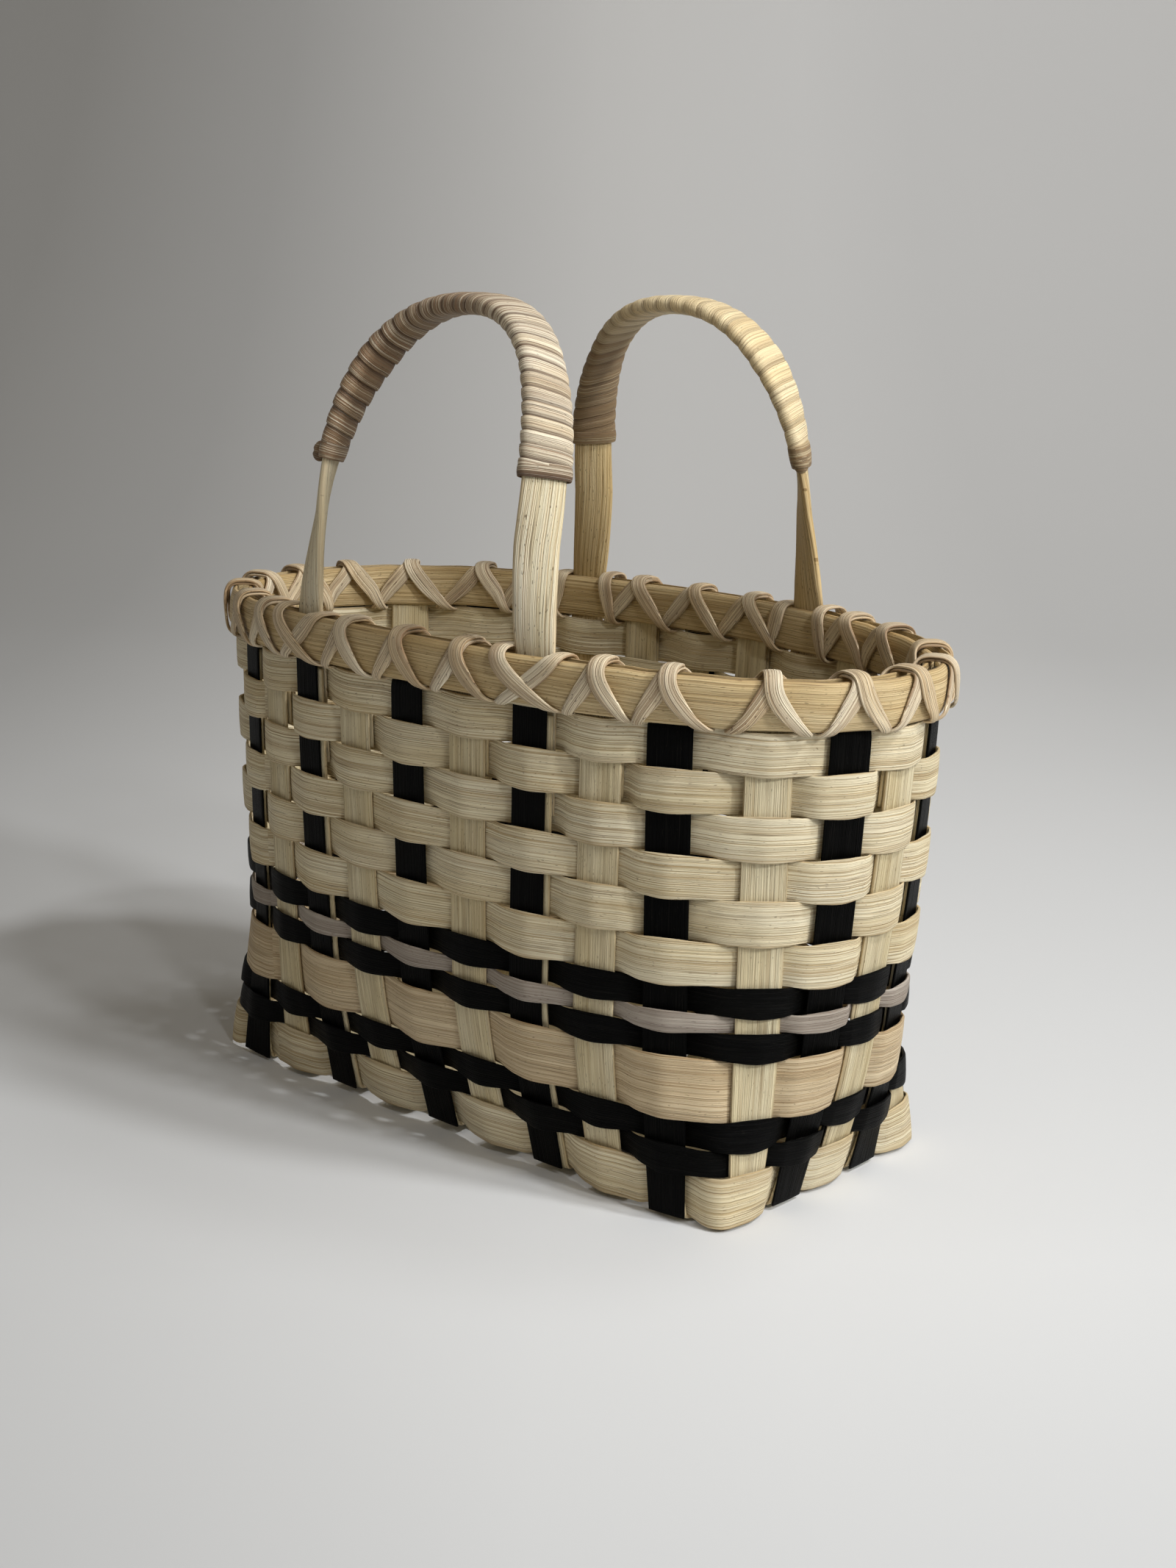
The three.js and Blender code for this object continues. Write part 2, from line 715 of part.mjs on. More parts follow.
// Wrap: one flat reed wound round the arch of the handle. A section lies along the handle.
function wrapSections(side) {
  const path = handleFrames(side, handleStations(side));
  const lengths = [0];
  for (let i = 1; i < path.length; i += 1) {
    lengths.push(lengths[i - 1] + path[i].point.distanceTo(path[i - 1].point));
  }
  const first = lengthAtHeight(side, path, lengths) + wrapWidth / 2;
  const total = lengths[lengths.length - 1];
  const fromEnd = lengths.map((length) => total - length).reverse();
  const last = total - lengthAtHeight(side, [...path].reverse(), fromEnd) - wrapWidth / 2;
  const inner = ovalCorners(wrapClearance);
  const outer = ovalCorners(wrapClearance + wrapThickness);
  const walked = [0];
  inner.forEach((corner, s) => {
    walked.push(walked[s] + corner.distanceTo(inner[(s + 1) % inner.length]));
  });
  const round = walked.pop();
  const count = wrapTurns * inner.length;
  return Array.from({ length: count + 1 }, (_, i) => {
    const s = i % inner.length;
    const turn = Math.floor(i / inner.length) + walked[s] / round;
    const at = first + ((last - first) * turn) / wrapTurns;
    const corner = (edge, oval) => {
      const { point, normal, width } = frameAtLength(path, lengths, at + (edge * wrapWidth) / 2);
      return point.addScaledVector(width, oval[s].x).addScaledVector(normal, oval[s].y);
    };
    return [corner(1, outer), corner(-1, outer), corner(-1, inner), corner(1, inner)];
  });
}

// The six corners round the handle's section, this far outside it.
function ovalCorners(lift) {
  const wide = handleWidth / 2;
  const flat = wide * ovalFlat;
  const half = handleThickness / 2;
  const slope = Math.hypot(half, wide - flat);
  const tip = wide + (lift * slope) / half;
  const shoulder = flat + lift * Math.tan(Math.atan(half / (wide - flat)) / 2);
  return [
    new THREE.Vector2(tip, 0),
    new THREE.Vector2(shoulder, half + lift),
    new THREE.Vector2(-shoulder, half + lift),
    new THREE.Vector2(-tip, 0),
    new THREE.Vector2(-shoulder, -half - lift),
    new THREE.Vector2(shoulder, -half - lift),
  ];
}

// How far along the handle's path it first reaches the wrap's foot.
function lengthAtHeight(side, path, lengths) {
  const i = path.findIndex(({ point }) => point.z - side.rimZ > wrapFoot);
  const low = path[i - 1].point.z - side.rimZ;
  const high = path[i].point.z - side.rimZ;
  return lengths[i - 1] + ((lengths[i] - lengths[i - 1]) * (wrapFoot - low)) / (high - low);
}

function frameAtLength(path, lengths, at) {
  const i = Math.max(lengths.findIndex((length) => length >= at), 1);
  const share = (at - lengths[i - 1]) / (lengths[i] - lengths[i - 1]);
  const blend = (key) => path[i - 1][key].clone().lerp(path[i][key], share);
  return { point: blend("point"), normal: blend("normal").normalize(), width: blend("width").normalize() };
}

// Assembly
const group = new THREE.Group();

function add(name, geometry, colour, roughness = 0.75) {
  const material = new THREE.MeshStandardMaterial({ color: colour, roughness, metalness: 0 });
  const mesh = new THREE.Mesh(geometry, material);
  mesh.name = name;
  group.add(mesh);
}

for (let i = -lastCross; i <= lastCross; i += 1) {
  add(`cross_stake_${i + lastCross + 1}`, crossStake(i), naturalColour);
}
for (let i = -lastLong; i <= lastLong; i += 1) {
  add(`long_stake_${i + lastLong + 1}`, longStake(i), naturalColour);
}
uprights
  .filter((upright) => upright.black)
  .forEach((upright) => {
    const last = walls.find((wall) => wall.name === upright.wall).last;
    add(`black_overlay_${upright.wall}_${upright.index + last + 1}`, blackOverlay(upright), blackColour);
  });
rows.forEach((row, n) => {
  add(`weaver_row_${String(n + 1).padStart(2, "0")}`, weaverRow(n), row.colour);
});
add("hidden_rim_row", hiddenRow(), naturalColour);
add("outer_rim", rimBand(1), rimColour);
add("inner_rim", rimBand(-1), rimColour);

const turnsPerLength = uprights.length / lashPieces;
const lashStrands = [
  { name: "lashing_over", way: 1, raise: lashRaise },
  { name: "lashing_under", way: -1, raise: 0 },
];
const windings = [];
lashStrands.forEach(({ name, way, raise }) => {
  for (let part = 0; part < lashPieces; part += 1) {
    const start = findUprightIndex("back", 1) + way * part * turnsPerLength;
    const sections = lashing(way, raise, start, turnsPerLength);
    windings.push({ name: `${name}_${part + 1}`, sections, perTurn: 5 });
  }
});

[handleSide("front", -1, frontLean), handleSide("back", 1, backLean)].forEach((side) => {
  add(`handle_${side.name}`, handle(side), rimColour);
  const sections = wrapSections(side);
  windings.push({ name: `handle_wrap_${side.name}`, sections, perTurn: 6 });
});

windings.forEach(({ name, sections, perTurn }) => {
  add(name, sweep(sections, false), lashColour);
  console.log(`${name}: least gap to itself ${leastGap(sections, perTurn).toFixed(2)} mm`);
});

export default group;
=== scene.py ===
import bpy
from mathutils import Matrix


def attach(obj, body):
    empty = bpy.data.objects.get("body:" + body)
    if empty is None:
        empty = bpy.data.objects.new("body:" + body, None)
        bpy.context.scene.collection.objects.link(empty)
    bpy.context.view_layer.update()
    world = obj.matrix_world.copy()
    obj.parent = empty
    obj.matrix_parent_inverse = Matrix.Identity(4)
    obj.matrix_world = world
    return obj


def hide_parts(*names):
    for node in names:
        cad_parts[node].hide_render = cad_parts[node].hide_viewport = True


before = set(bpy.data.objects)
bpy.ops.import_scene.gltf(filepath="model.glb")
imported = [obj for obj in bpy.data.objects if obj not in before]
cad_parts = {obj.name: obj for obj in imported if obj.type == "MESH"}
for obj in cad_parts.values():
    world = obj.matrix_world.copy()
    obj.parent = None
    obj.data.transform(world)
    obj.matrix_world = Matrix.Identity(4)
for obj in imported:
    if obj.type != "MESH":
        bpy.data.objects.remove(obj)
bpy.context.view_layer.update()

import math

import bpy
import numpy as np
from mathutils import Matrix, Vector

# The looks of a tote basket woven from flat reed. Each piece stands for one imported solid.
# Sizes are in millimetres until a mesh is made. The wall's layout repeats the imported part's.
MM = 0.001

STAKE_WIDTH = 16.0
STAKE_THICKNESS = 1.2
OVERLAY_THICKNESS = 0.9
WEAVER_THICKNESS = 1.1
CLEARANCE = 0.3
EDGE_CLEARANCE = 0.4
TUCK_CLEARANCE = 0.6
LAST_CROSS = 4
LAST_LONG = 2
CROSS_PITCH = 28.0
LONG_PITCH = 23.5
END_REACH = 133.5
SIDE_REACH = 62.0
BASE_ARCH = 2.2
WALL_HEIGHT = 179.0
RIM_DIP = 2.25
FOOT_GAP = 2.5
ROW_GAP = 0.4
ROW_HEIGHTS = [16.4, 9.4, 9.8, 22.5, 9.6, 6.9, 10.1, 15.8, 15.7, 15.0, 15.0, 14.8, 14.1]
BELLY_ROW = 5
ROW_FINISHES = ["natural", "black", "black", "peach", "black", "lavender", "black"] + ["natural"] * 6
TUCK_ROW = 11
LEG_ROWS = (12, 10)
BAND_HEIGHT = 17.0
BAND_THICKNESS = 3.0
HIDDEN_THICKNESS = 1.0
HIDDEN_FOOT = 2.0
HIDDEN_TOP = 3.0
SLOT_HALF = 2.3
RIM_TOP = WALL_HEIGHT + BAND_HEIGHT
LASH_DROP = 1.8
LASH_THICKNESS = 1.0
LASH_CLEARANCE = 0.5
HANDLE_UPRIGHT = 2
HANDLE_WIDTH = 16.0
HANDLE_THICKNESS = 4.5
HANDLE_SHOULDER = 55.3
HANDLE_LEG = 37.0
HANDLE_RISE = 78.5
HANDLE_SQUARENESS = 2.35
TWIST_AT_WRAP = 57.0
TWISTED_AT = 0.75  # share of the rise from which its flat face looks straight out of the arch
TAIL_THICKNESS = 1.4
WRAP_FOOT = 57.0
STATION_REACH = 8.8
BLACK_STACK = 1.2
BLACK_STAKE_OFFSET = -0.6
OVERLAY_OFFSET = 0.75

# The walls' plan is an oval at the belly and at the rim: its reach both ways, its squareness, and
# for long and short walls the pitch of the uprights and how they draw together towards the corners
BELLY_OVAL = {"reach": (147.7, 78.0), "square": 2.55, True: (27.8, 0.002), False: (22.7, 0.0104)}
RIM_OVAL = {"reach": (157.6, 83.1), "square": 2.25, True: (29.9, 0.006), False: (25.2, 0.0165)}

# Ring coordinate: a whole number at each upright, and this far from it at the edge of its flat part
FLAT_SHARE = 0.3
RING_SCALE = STATION_REACH / FLAT_SHARE  # millimetres for each whole step, nearly the same in a gap

CROSSES = range(-LAST_CROSS, LAST_CROSS + 1)
LONGS = range(-LAST_LONG, LAST_LONG + 1)
WALLS = [
    ("front", (1, 0), (0, -1), LAST_CROSS),
    ("right", (0, 1), (1, 0), LAST_LONG),
    ("back", (-1, 0), (0, 1), LAST_CROSS),
    ("left", (0, -1), (-1, 0), LAST_LONG),
]


def unit(v):
    return v / np.linalg.norm(v, axis=-1, keepdims=True)


def blend_between(t, low, high):
    t = np.clip((t - low) / (high - low), 0, 1)
    return t * t * (3 - 2 * t)


def signed_power(value, power):
    return np.sign(value) * np.abs(value) ** power


def arch_at(index):
    return BASE_ARCH * (1 - (index / LAST_CROSS) ** 2)


def stand_on(oval, along, out, index):
    """Where an upright stands on an oval, and the oval's outward direction there."""
    long = out[0] == 0
    pitch, crowd = oval[long]
    reach_along, reach_out = oval["reach"][::1 if long else -1]
    square = oval["square"]
    run = index * pitch * (1 - crowd * index * index)
    place = along * run + out * reach_out * (1 - abs(run / reach_along) ** square) ** (1 / square)
    return place, unit(signed_power(place / oval["reach"], square - 1) / oval["reach"])


def make_upright(name, along, out, last, index):
    long = last == LAST_CROSS
    along, out = np.array(along, float), np.array(out, float)
    belly, belly_out = stand_on(BELLY_OVAL, along, out, index)
    rim, rim_out = stand_on(RIM_OVAL, along, out, index)
    pitch = CROSS_PITCH if long else LONG_PITCH
    reach = SIDE_REACH if long else END_REACH
    return {
        "wall": name,
        "index": index,
        "last": last,
        "black": (index + last) % 2 == (0 if long else 1),
        "handle": long and abs(index) == HANDLE_UPRIGHT,
        "places": [along * (index * pitch) + out * reach, belly, rim],
        "directions": [out, belly_out, rim_out],
        "foot": arch_at(index) if long else 0.0,
        "top": WALL_HEIGHT - RIM_DIP * (rim[0] / RIM_OVAL["reach"][0]) ** 2,
    }


uprights = [make_upright(*wall, i) for wall in WALLS for i in range(-wall[3], wall[3] + 1)]
COUNT = len(uprights)
black, handled, foot_z, top_z, places, directions = (
    np.array([u[key] for u in uprights])
    for key in ("black", "handle", "foot", "top", "places", "directions"))


def row_foot(n):
    return FOOT_GAP + sum(ROW_HEIGHTS[:n])


LOW_SLOPES = (1.22, 0.31)  # how steeply the wall swells at both ends of its part below the belly
HIGH_SLOPES = (1.5, 0.5)  # and of its part above


def eased(share, start, end):
    """A share from 0 to 1 that grows at these slopes, against an even one, at its start and end."""
    rest = 1 - share
    return share + share * rest * ((start - 1) * rest + (1 - end) * share)


def find_upright(wall, index):
    return next(i for i, u in enumerate(uprights) if u["wall"] == wall and u["index"] == index)


def wall_frame(i, height):
    """Middle of upright i at a height of its wall, with its outward and forward directions."""
    belly = row_foot(BELLY_ROW)
    low = eased(np.clip(height / belly, 0, 1), *LOW_SLOPES)[..., None]
    high = eased(np.clip((height - belly) / (WALL_HEIGHT - belly), 0, 1), *HIGH_SLOPES)[..., None]
    middle, out = (
        rows[i, 0] * (1 - low) + rows[i, 1] * (low - high) + rows[i, 2] * high
        for rows in (places, directions))
    rise = (top_z[i] - foot_z[i]) / WALL_HEIGHT
    z = foot_z[i] + rise * np.minimum(height, WALL_HEIGHT) + np.maximum(height - WALL_HEIGHT, 0)
    flat = np.zeros_like(z)
    x, y = np.moveaxis(unit(out), -1, 0)
    rows = ((*np.moveaxis(middle, -1, 0), z), (x, y, flat), (-y, x, flat))
    return [np.stack(row, -1) for row in rows]


def hermite(t, start, end, leaving, arriving):
    """A smooth curve from start to end that has these slopes there."""
    gone = t * t * (3 - 2 * t)
    return (1 - gone) * start + t * (1 - t) ** 2 * leaving + gone * end + t * t * (t - 1) * arriving


def wall_at(q, height):
    """The wall at ring coordinate q, flat across each upright and a smooth curve between them: the
    point there and the outward direction."""
    q, height = np.broadcast_arrays(np.asarray(q, float), np.asarray(height, float))
    near = np.round(q).astype(int)
    origin, outward, forward = wall_frame(near % COUNT, height)
    point = origin + forward * ((q - near) * RING_SCALE)[..., None]
    before = np.floor(q).astype(int)
    t = (q - before - FLAT_SHARE) / (1 - 2 * FLAT_SHARE)
    in_gap = ((t > 0) & (t < 1))[..., None]
    t = np.clip(t, 0, 1)[..., None]
    a, _, a_forward = wall_frame(before % COUNT, height)
    b, _, b_forward = wall_frame((before + 1) % COUNT, height)
    start = a + a_forward * STATION_REACH
    end = b - b_forward * STATION_REACH
    span = np.linalg.norm(end - start, axis=-1, keepdims=True)
    curve = hermite(t, start, end, span * a_forward, span * b_forward)
    slope = ((1 - t) * (1 - 3 * t) * span * a_forward + 6 * t * (1 - t) * (end - start)
             + t * (3 * t - 2) * span * b_forward)
    slope[..., 2] = 0
    slope = unit(slope)
    curve_out = np.stack([slope[..., 1], -slope[..., 0], np.zeros_like(slope[..., 0])], -1)
    return np.where(in_gap, curve, point), np.where(in_gap, curve_out, outward)


def ring_samples(steps):
    """Ring coordinates all the way round, this many to each upright, starting at a gap."""
    return np.arange(COUNT * steps) / steps + 0.5


def smooth_values(values, at):
    """The values at whole numbers, joined by smooth steps and repeated past their end."""
    low = np.floor(at).astype(int)
    t = blend_between(at - low, 0, 1)
    return values[low % len(values)] * (1 - t) + values[(low + 1) % len(values)] * t


def ring_noise(q, seed, per_step):
    """A smooth random value from -1 to 1 along the ring."""
    values = np.random.default_rng(seed).uniform(-1, 1, COUNT * per_step)
    return smooth_values(values, q * per_step)


def line_noise(length, spacing, seed, count):
    """A smooth random value from -1 to 1 at count places along a line of this length."""
    steps = max(int(length / spacing), 2)
    values = np.random.default_rng(seed).uniform(-1, 1, steps + 2)
    return smooth_values(values, np.linspace(0, steps, count))


# Points round the section of a flat reed with rounded edges: shares of its half width less its half
# thickness, and of its half thickness, across it; then shares of its half thickness, and of its
# crown, through it.
EDGE = np.radians([90, 50, 0, -50, -90])
FACE = np.array([-0.66, -0.25, 0.25, 0.66])
BACK = np.array([0.5, -0.5])
PROFILE = np.concatenate([
    np.stack([np.ones(5), np.cos(EDGE), np.sin(EDGE), np.zeros(5)], 1),
    np.stack([BACK, np.zeros(2), -np.ones(2), np.zeros(2)], 1),
    np.stack([-np.ones(5), -np.cos(EDGE[::-1]), np.sin(EDGE[::-1]), np.zeros(5)], 1),
    np.stack([FACE, np.zeros(4), np.ones(4), 1 - FACE ** 2], 1),
])


def reed_profile(half_width, half_thickness, crown):
    """The points round each section: across it, one row for each half width, and through it."""
    across = PROFILE[:, 0] * (half_width[:, None] - half_thickness) + PROFILE[:, 1] * half_thickness
    return across, PROFILE[:, 2] * half_thickness + PROFILE[:, 3] * crown


def make_mesh(name, parts):
    """A mesh of one or more strips, each given as sections, whether it is closed, lengths along it,
    places across it and a seed. Each corner keeps the last three for the material."""
    points, faces, reeds = [], [], []
    base = 0
    for sections, closed, along, across, seed in parts:
        count, sides, _ = sections.shape
        points.append(sections.reshape(-1, 3) * MM)
        across = np.broadcast_to(across, (count, sides))
        spans = count if closed else count - 1
        i, s = np.meshgrid(np.arange(spans), np.arange(sides), indexing="ij")
        corners = ((i, s), (i + 1, s), (i + 1, (s + 1) % sides), (i, (s + 1) % sides))
        longer = np.append(along, along[-1] * 2 - along[-2])  # to the end of a closed strip's last span
        quads = np.stack([a % count * sides + b for a, b in corners], -1)
        run = np.stack([longer[a] for a, _ in corners], -1)
        wide = np.stack([across[a % count, b] for a, b in corners], -1)
        reed = np.stack([run, wide, np.full(run.shape, float(seed))], -1)
        faces.append(quads.reshape(-1, 4) + base)
        reeds.append(reed.reshape(-1, 4, 3))
        if not closed:
            for row, order in ((0, 1), (count - 1, -1)):
                ring = row * sides + np.arange(sides)[::order]
                faces.append((ring + base)[None])
                ends = np.broadcast_arrays(along[row], across[row][::order], float(seed))
                reeds.append(np.stack(ends, -1)[None])
        base += count * sides
    points = np.concatenate(points)
    mesh = bpy.data.meshes.new(name)
    mesh.from_pydata(points.tolist(), [], [f.tolist() for group in faces for f in group])
    values = np.concatenate([r.reshape(-1, 3) for r in reeds]).astype(np.float32)
    layer = mesh.attributes.new("reed", "FLOAT_VECTOR", "CORNER")
    layer.data.foreach_set("vector", values.ravel())
    mesh.polygons.foreach_set("use_smooth", np.ones(len(mesh.polygons), bool))
    if volume_of(mesh) < 0:
        mesh.flip_normals()
    mesh.update()
    return mesh


def volume_of(mesh):
    mesh.calc_loop_triangles()
    corners = np.zeros(len(mesh.loop_triangles) * 3, np.int32)
    mesh.loop_triangles.foreach_get("vertices", corners)
    points = np.zeros(len(mesh.vertices) * 3, np.float32)
    mesh.vertices.foreach_get("co", points)
    a, b, c = np.moveaxis(points.reshape(-1, 3)[corners.reshape(-1, 3)].astype(float), 1, 0)
    return float((a * np.cross(b, c)).sum())


def add_piece(node, material, parts):
    """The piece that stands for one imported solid, which node names."""
    name = f"reed_{node}"
    piece = bpy.data.objects.new(name, make_mesh(name, parts))
    bpy.context.scene.collection.objects.link(piece)
    piece.data.materials.append(material)
    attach(piece, "root")
    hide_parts(node)


def lengths_along(points):
    return np.concatenate([[0], np.cumsum(np.linalg.norm(np.diff(points, axis=0), axis=1))])


def sample(at, lengths, rows):
    return np.stack([np.interp(at, lengths, rows[:, k]) for k in range(3)], -1)


def smoothed(rows, rounds):
    """Rows averaged with their neighbours this many times. The first and last stay."""
    for _ in range(rounds):
        rows[1:-1] = (rows[:-2] + 2 * rows[1:-1] + rows[2:]) / 4
    return rows


def even_path(stations, step, rounds):
    """Points and normals at even steps along the stations, with rounded bends."""
    points, normals = (np.array(rows) for rows in zip(*stations))
    lengths = lengths_along(points)
    at = np.linspace(0, lengths[-1], max(int(lengths[-1] / step), 4))
    points = smoothed(sample(at, lengths, points), rounds)
    return points, unit(smoothed(sample(at, lengths, normals), rounds))


def uneven(points, amount, seed, spacing=40):
    """A factor along a path that strays from 1 by up to this amount."""
    return 1 + amount * line_noise(lengths_along(points)[-1], spacing, seed, len(points))


def spread(points, sides, faces, across, through):
    """Each point's section, this far across and through it."""
    return points[:, None] + sides[:, None] * across[..., None] + faces[:, None] * through[..., None]


def strip(points, normals, half_width, half_thickness, crown, seed):
    """A flat reed along a path, as make_mesh takes it."""
    tangents = unit(np.gradient(points, axis=0))
    sides = unit(np.cross(tangents, normals))
    across, through = reed_profile(np.broadcast_to(half_width, len(points)), half_thickness, crown)
    sections = spread(points, sides, np.cross(sides, tangents), across, through)
    return sections, False, lengths_along(points), across, seed


def ring_strip(q, heights, offsets, across, seed):
    """A strip that runs round the wall and closes, as make_mesh takes it."""
    point, outward = wall_at(q[:, None], heights)
    return point + outward * offsets[..., None], True, q * RING_SCALE, across, seed


# Weaver rows
ROW_STEPS = 16
ROW_BULGE = 1.35  # how far a row bows out over the middle of a stake
BULGE_SPREAD = (0.75, 1.2)
INNER_BULGE = 0.5  # share of the bow where a row passes inside
# How much further each row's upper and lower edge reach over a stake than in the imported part
ROW_COVER_UP = [1.3, 1.2, 1.3, 0.7, 1.0, 0.9, 0.9, 1.0, 0.9, 0.9, 0.9, 0.9, 1.0]
ROW_COVER_DOWN = [0.2, 1.3, 1.6, 0.7, 1.0, 0.9, 1.0, 1.0, 0.9, 0.9, 0.9, 0.9, 0.9]
ROW_COVER_GAP = 0.15
FIRST_ROW_DROP = 1.4  # how much further down the first row reaches where it isn't inside a stake
FIRST_ROW_INSIDE = (-1.7, -0.4)  # offsets between which that drop sets in
LAST_ROW_GAP = 1.4  # the last row's cover between two stakes, so that no light comes in below the rim
EDGE_AT = 0.27
EDGE_SLOPE = 5.5
ROW_CROWN = 0.22
ROW_STRAY = 0.3
ROW_UNEVEN = 0.15
ROW_TILT = 0.012


def row_offsets(n, q, seed):
    """How far out a row runs: bowed over each stake, and crossing the wall between two."""
    gap = CLEARANCE + WEAVER_THICKNESS / 2
    leg = (CLEARANCE + TAIL_THICKNESS) * (n in LEG_ROWS)
    tail = (2 * TUCK_CLEARANCE - CLEARANCE + STAKE_THICKNESS) * (n == TUCK_ROW)
    reach = np.where(black, BLACK_STACK, STAKE_THICKNESS / 2)
    behind_more = np.where(black, leg * handled, tail)
    reach = np.where(black == (n % 2 == 1), reach, -reach - behind_more)
    sign = np.sign(reach)
    edge = reach + sign * gap
    bow = ROW_BULGE * np.random.default_rng(seed).uniform(*BULGE_SPREAD, COUNT)
    peak = edge + sign * np.where(sign > 0, bow, INNER_BULGE * bow)
    i = np.floor(q).astype(int)
    d = q - i
    a, b = i % COUNT, (i + 1) % COUNT
    run = 1 - 2 * EDGE_AT
    leaving, arriving = -sign[a] * EDGE_SLOPE, sign[b] * EDGE_SLOPE
    first = hermite(d / EDGE_AT, peak[a], edge[a], 0, leaving * EDGE_AT)
    middle = hermite((d - EDGE_AT) / run, edge[a], edge[b], leaving * run, arriving * run)
    last = hermite((d - 1 + EDGE_AT) / EDGE_AT, edge[b], peak[b], arriving * EDGE_AT, 0)
    return np.select([d < EDGE_AT, d > 1 - EDGE_AT], [first, last], middle)


def row_part(n):
    seed = 100 + n
    q = ring_samples(ROW_STEPS)
    offset = row_offsets(n, q, seed)
    low = row_foot(n)
    high = low + ROW_HEIGHTS[n] - ROW_GAP
    cover = (0.5 + 0.5 * np.cos(2 * np.pi * q)) ** 0.8
    gap_cover = LAST_ROW_GAP if n == len(ROW_HEIGHTS) - 1 else ROW_COVER_GAP
    top = high + gap_cover + (ROW_COVER_UP[n] - gap_cover) * cover
    bottom = low - ROW_COVER_GAP - (ROW_COVER_DOWN[n] - ROW_COVER_GAP) * cover
    if n == 0:
        bottom = bottom - FIRST_ROW_DROP * blend_between(offset, *FIRST_ROW_INSIDE)
    middle = (bottom + top) / 2 + ROW_STRAY * ring_noise(q, seed + 50, 1)
    half = (top - bottom) / 2 + ROW_UNEVEN * ring_noise(q, seed + 80, 1)
    tilt = ROW_TILT * ring_noise(q, seed + 110, 1)
    across, through = reed_profile(half, WEAVER_THICKNESS / 2, ROW_CROWN)
    offsets = offset[:, None] + through + tilt[:, None] * across
    return ring_strip(q, middle[:, None] + across, offsets, across, n + 1)


# Stakes
def station(i, height, offset, turn=0.0, lateral=0.0):
    """A station in the wall. turn is 0 facing out and 90 facing up."""
    origin, outward, forward = wall_frame(i, height)
    angle = math.radians(turn)
    normal = outward * math.cos(angle) + np.array([0, 0, math.sin(angle)])
    return origin + outward * offset + forward * lateral, normal


def folded_head(i):
    """A natural stake's end: tucked behind a row inside, up, over the hidden row and down."""
    tail = -(STAKE_THICKNESS + TUCK_CLEARANCE)
    slot = HIDDEN_THICKNESS / 2 + CLEARANCE + STAKE_THICKNESS / 2
    below = WALL_HEIGHT - LASH_DROP - LASH_THICKNESS - CLEARANCE
    above = WALL_HEIGHT + HIDDEN_FOOT
    fold = RIM_TOP - HIDDEN_TOP + CLEARANCE + STAKE_THICKNESS / 2
    end = row_foot(TUCK_ROW) + 3 * CLEARANCE
    return [
        station(i, end, tail, 180),
        station(i, (end + below) / 2, tail, 180),
        station(i, below, tail, 180),
        station(i, WALL_HEIGHT - CLEARANCE, -slot, 180),
        station(i, fold, -slot, 135),
        station(i, fold, slot, 45),
        station(i, above, slot),
        station(i, WALL_HEIGHT - LASH_DROP + CLEARANCE, 0),
    ]


def wall_run(i):
    """A stake's run from its upper end down one wall to the bend at the base."""
    if black[i]:
        offset, foot = BLACK_STAKE_OFFSET, STAKE_THICKNESS / 2 + EDGE_CLEARANCE
        head = [station(i, WALL_HEIGHT - LASH_DROP - 2 * CLEARANCE - STAKE_THICKNESS, offset)]
    else:
        offset, foot, head = 0.0, STAKE_THICKNESS / 2, folded_head(i)
    straight = [station(i, height, offset) for height in np.arange(170, foot + 3, -5)]
    return head + straight + [station(i, foot, offset, -45)]


def base_level(cross, long, is_cross):
    cross_above = (cross + LAST_CROSS + long + LAST_LONG) % 2 == 0
    above = is_cross == cross_above
    return STAKE_THICKNESS / 2 + (STAKE_THICKNESS + CLEARANCE if above else 0) + arch_at(cross)


# These uprights show a second edge beside their front layer: how far that layer is set aside
SHOWN_EDGE = {
    ("front", -2): -0.9, ("front", 2): -0.9, ("front", -3): -0.7, ("front", -1): -0.7,
    ("front", 1): -0.7, ("front", 3): 0.7, ("right", -2): -0.6, ("right", 0): 0.6,
    ("back", -2): 0.8, ("back", 2): 0.8, ("left", 1): 0.6,
}
HIDDEN_NARROWING = 1.8  # each side of a stake that its black overlay hides
NARROW_BETWEEN = (1.0, 12.0)  # heights between which it sets in
LAYER_THICKNESS = 0.36
LAYER_CROWN = 0.08
OVERLAY_CROWN = 0.12
OVERLAY_SEED = 200
DOWN = np.array([0, 0, -1.0])


def shown_edge(i):
    return SHOWN_EDGE.get((uprights[i]["wall"], uprights[i]["index"]), 0.0)


def stake_parts(first, floor, last, seed):
    stations = wall_run(first) + [(np.array(p), DOWN) for p in floor] + wall_run(last)[::-1]
    points, normals = even_path(stations, 1.4, 3)
    width = STAKE_WIDTH / 2 * uneven(points, 0.012, seed)
    halfway = np.arange(len(points)) < len(points) / 2
    walled = blend_between(points[:, 2], *NARROW_BETWEEN)
    for i, here in ((first, halfway), (last, ~halfway)):
        if black[i] and not shown_edge(i):
            width = width - HIDDEN_NARROWING * here * walled
    layers = [layer_part(i, seed + 0.5) for i in (first, last) if shown_edge(i) and not black[i]]
    return [strip(points, normals, width, STAKE_THICKNESS / 2, 0.0, seed)] + layers


def layer_part(i, seed):
    """A thin second reed on the outside of a natural stake, set a little aside."""
    shift = shown_edge(i)
    offset = STAKE_THICKNESS / 2 + LAYER_THICKNESS / 2
    stations = [station(i, height, offset, 0, shift) for height in np.arange(1.0, WALL_HEIGHT - 3, 5)]
    half_width = STAKE_WIDTH / 2 - abs(shift)
    return strip(*even_path(stations, 2.0, 1), half_width, LAYER_THICKNESS / 2, LAYER_CROWN, seed)


FLOOR_SIDES = (-STAKE_WIDTH / 2 - EDGE_CLEARANCE, STAKE_WIDTH / 2 + EDGE_CLEARANCE)


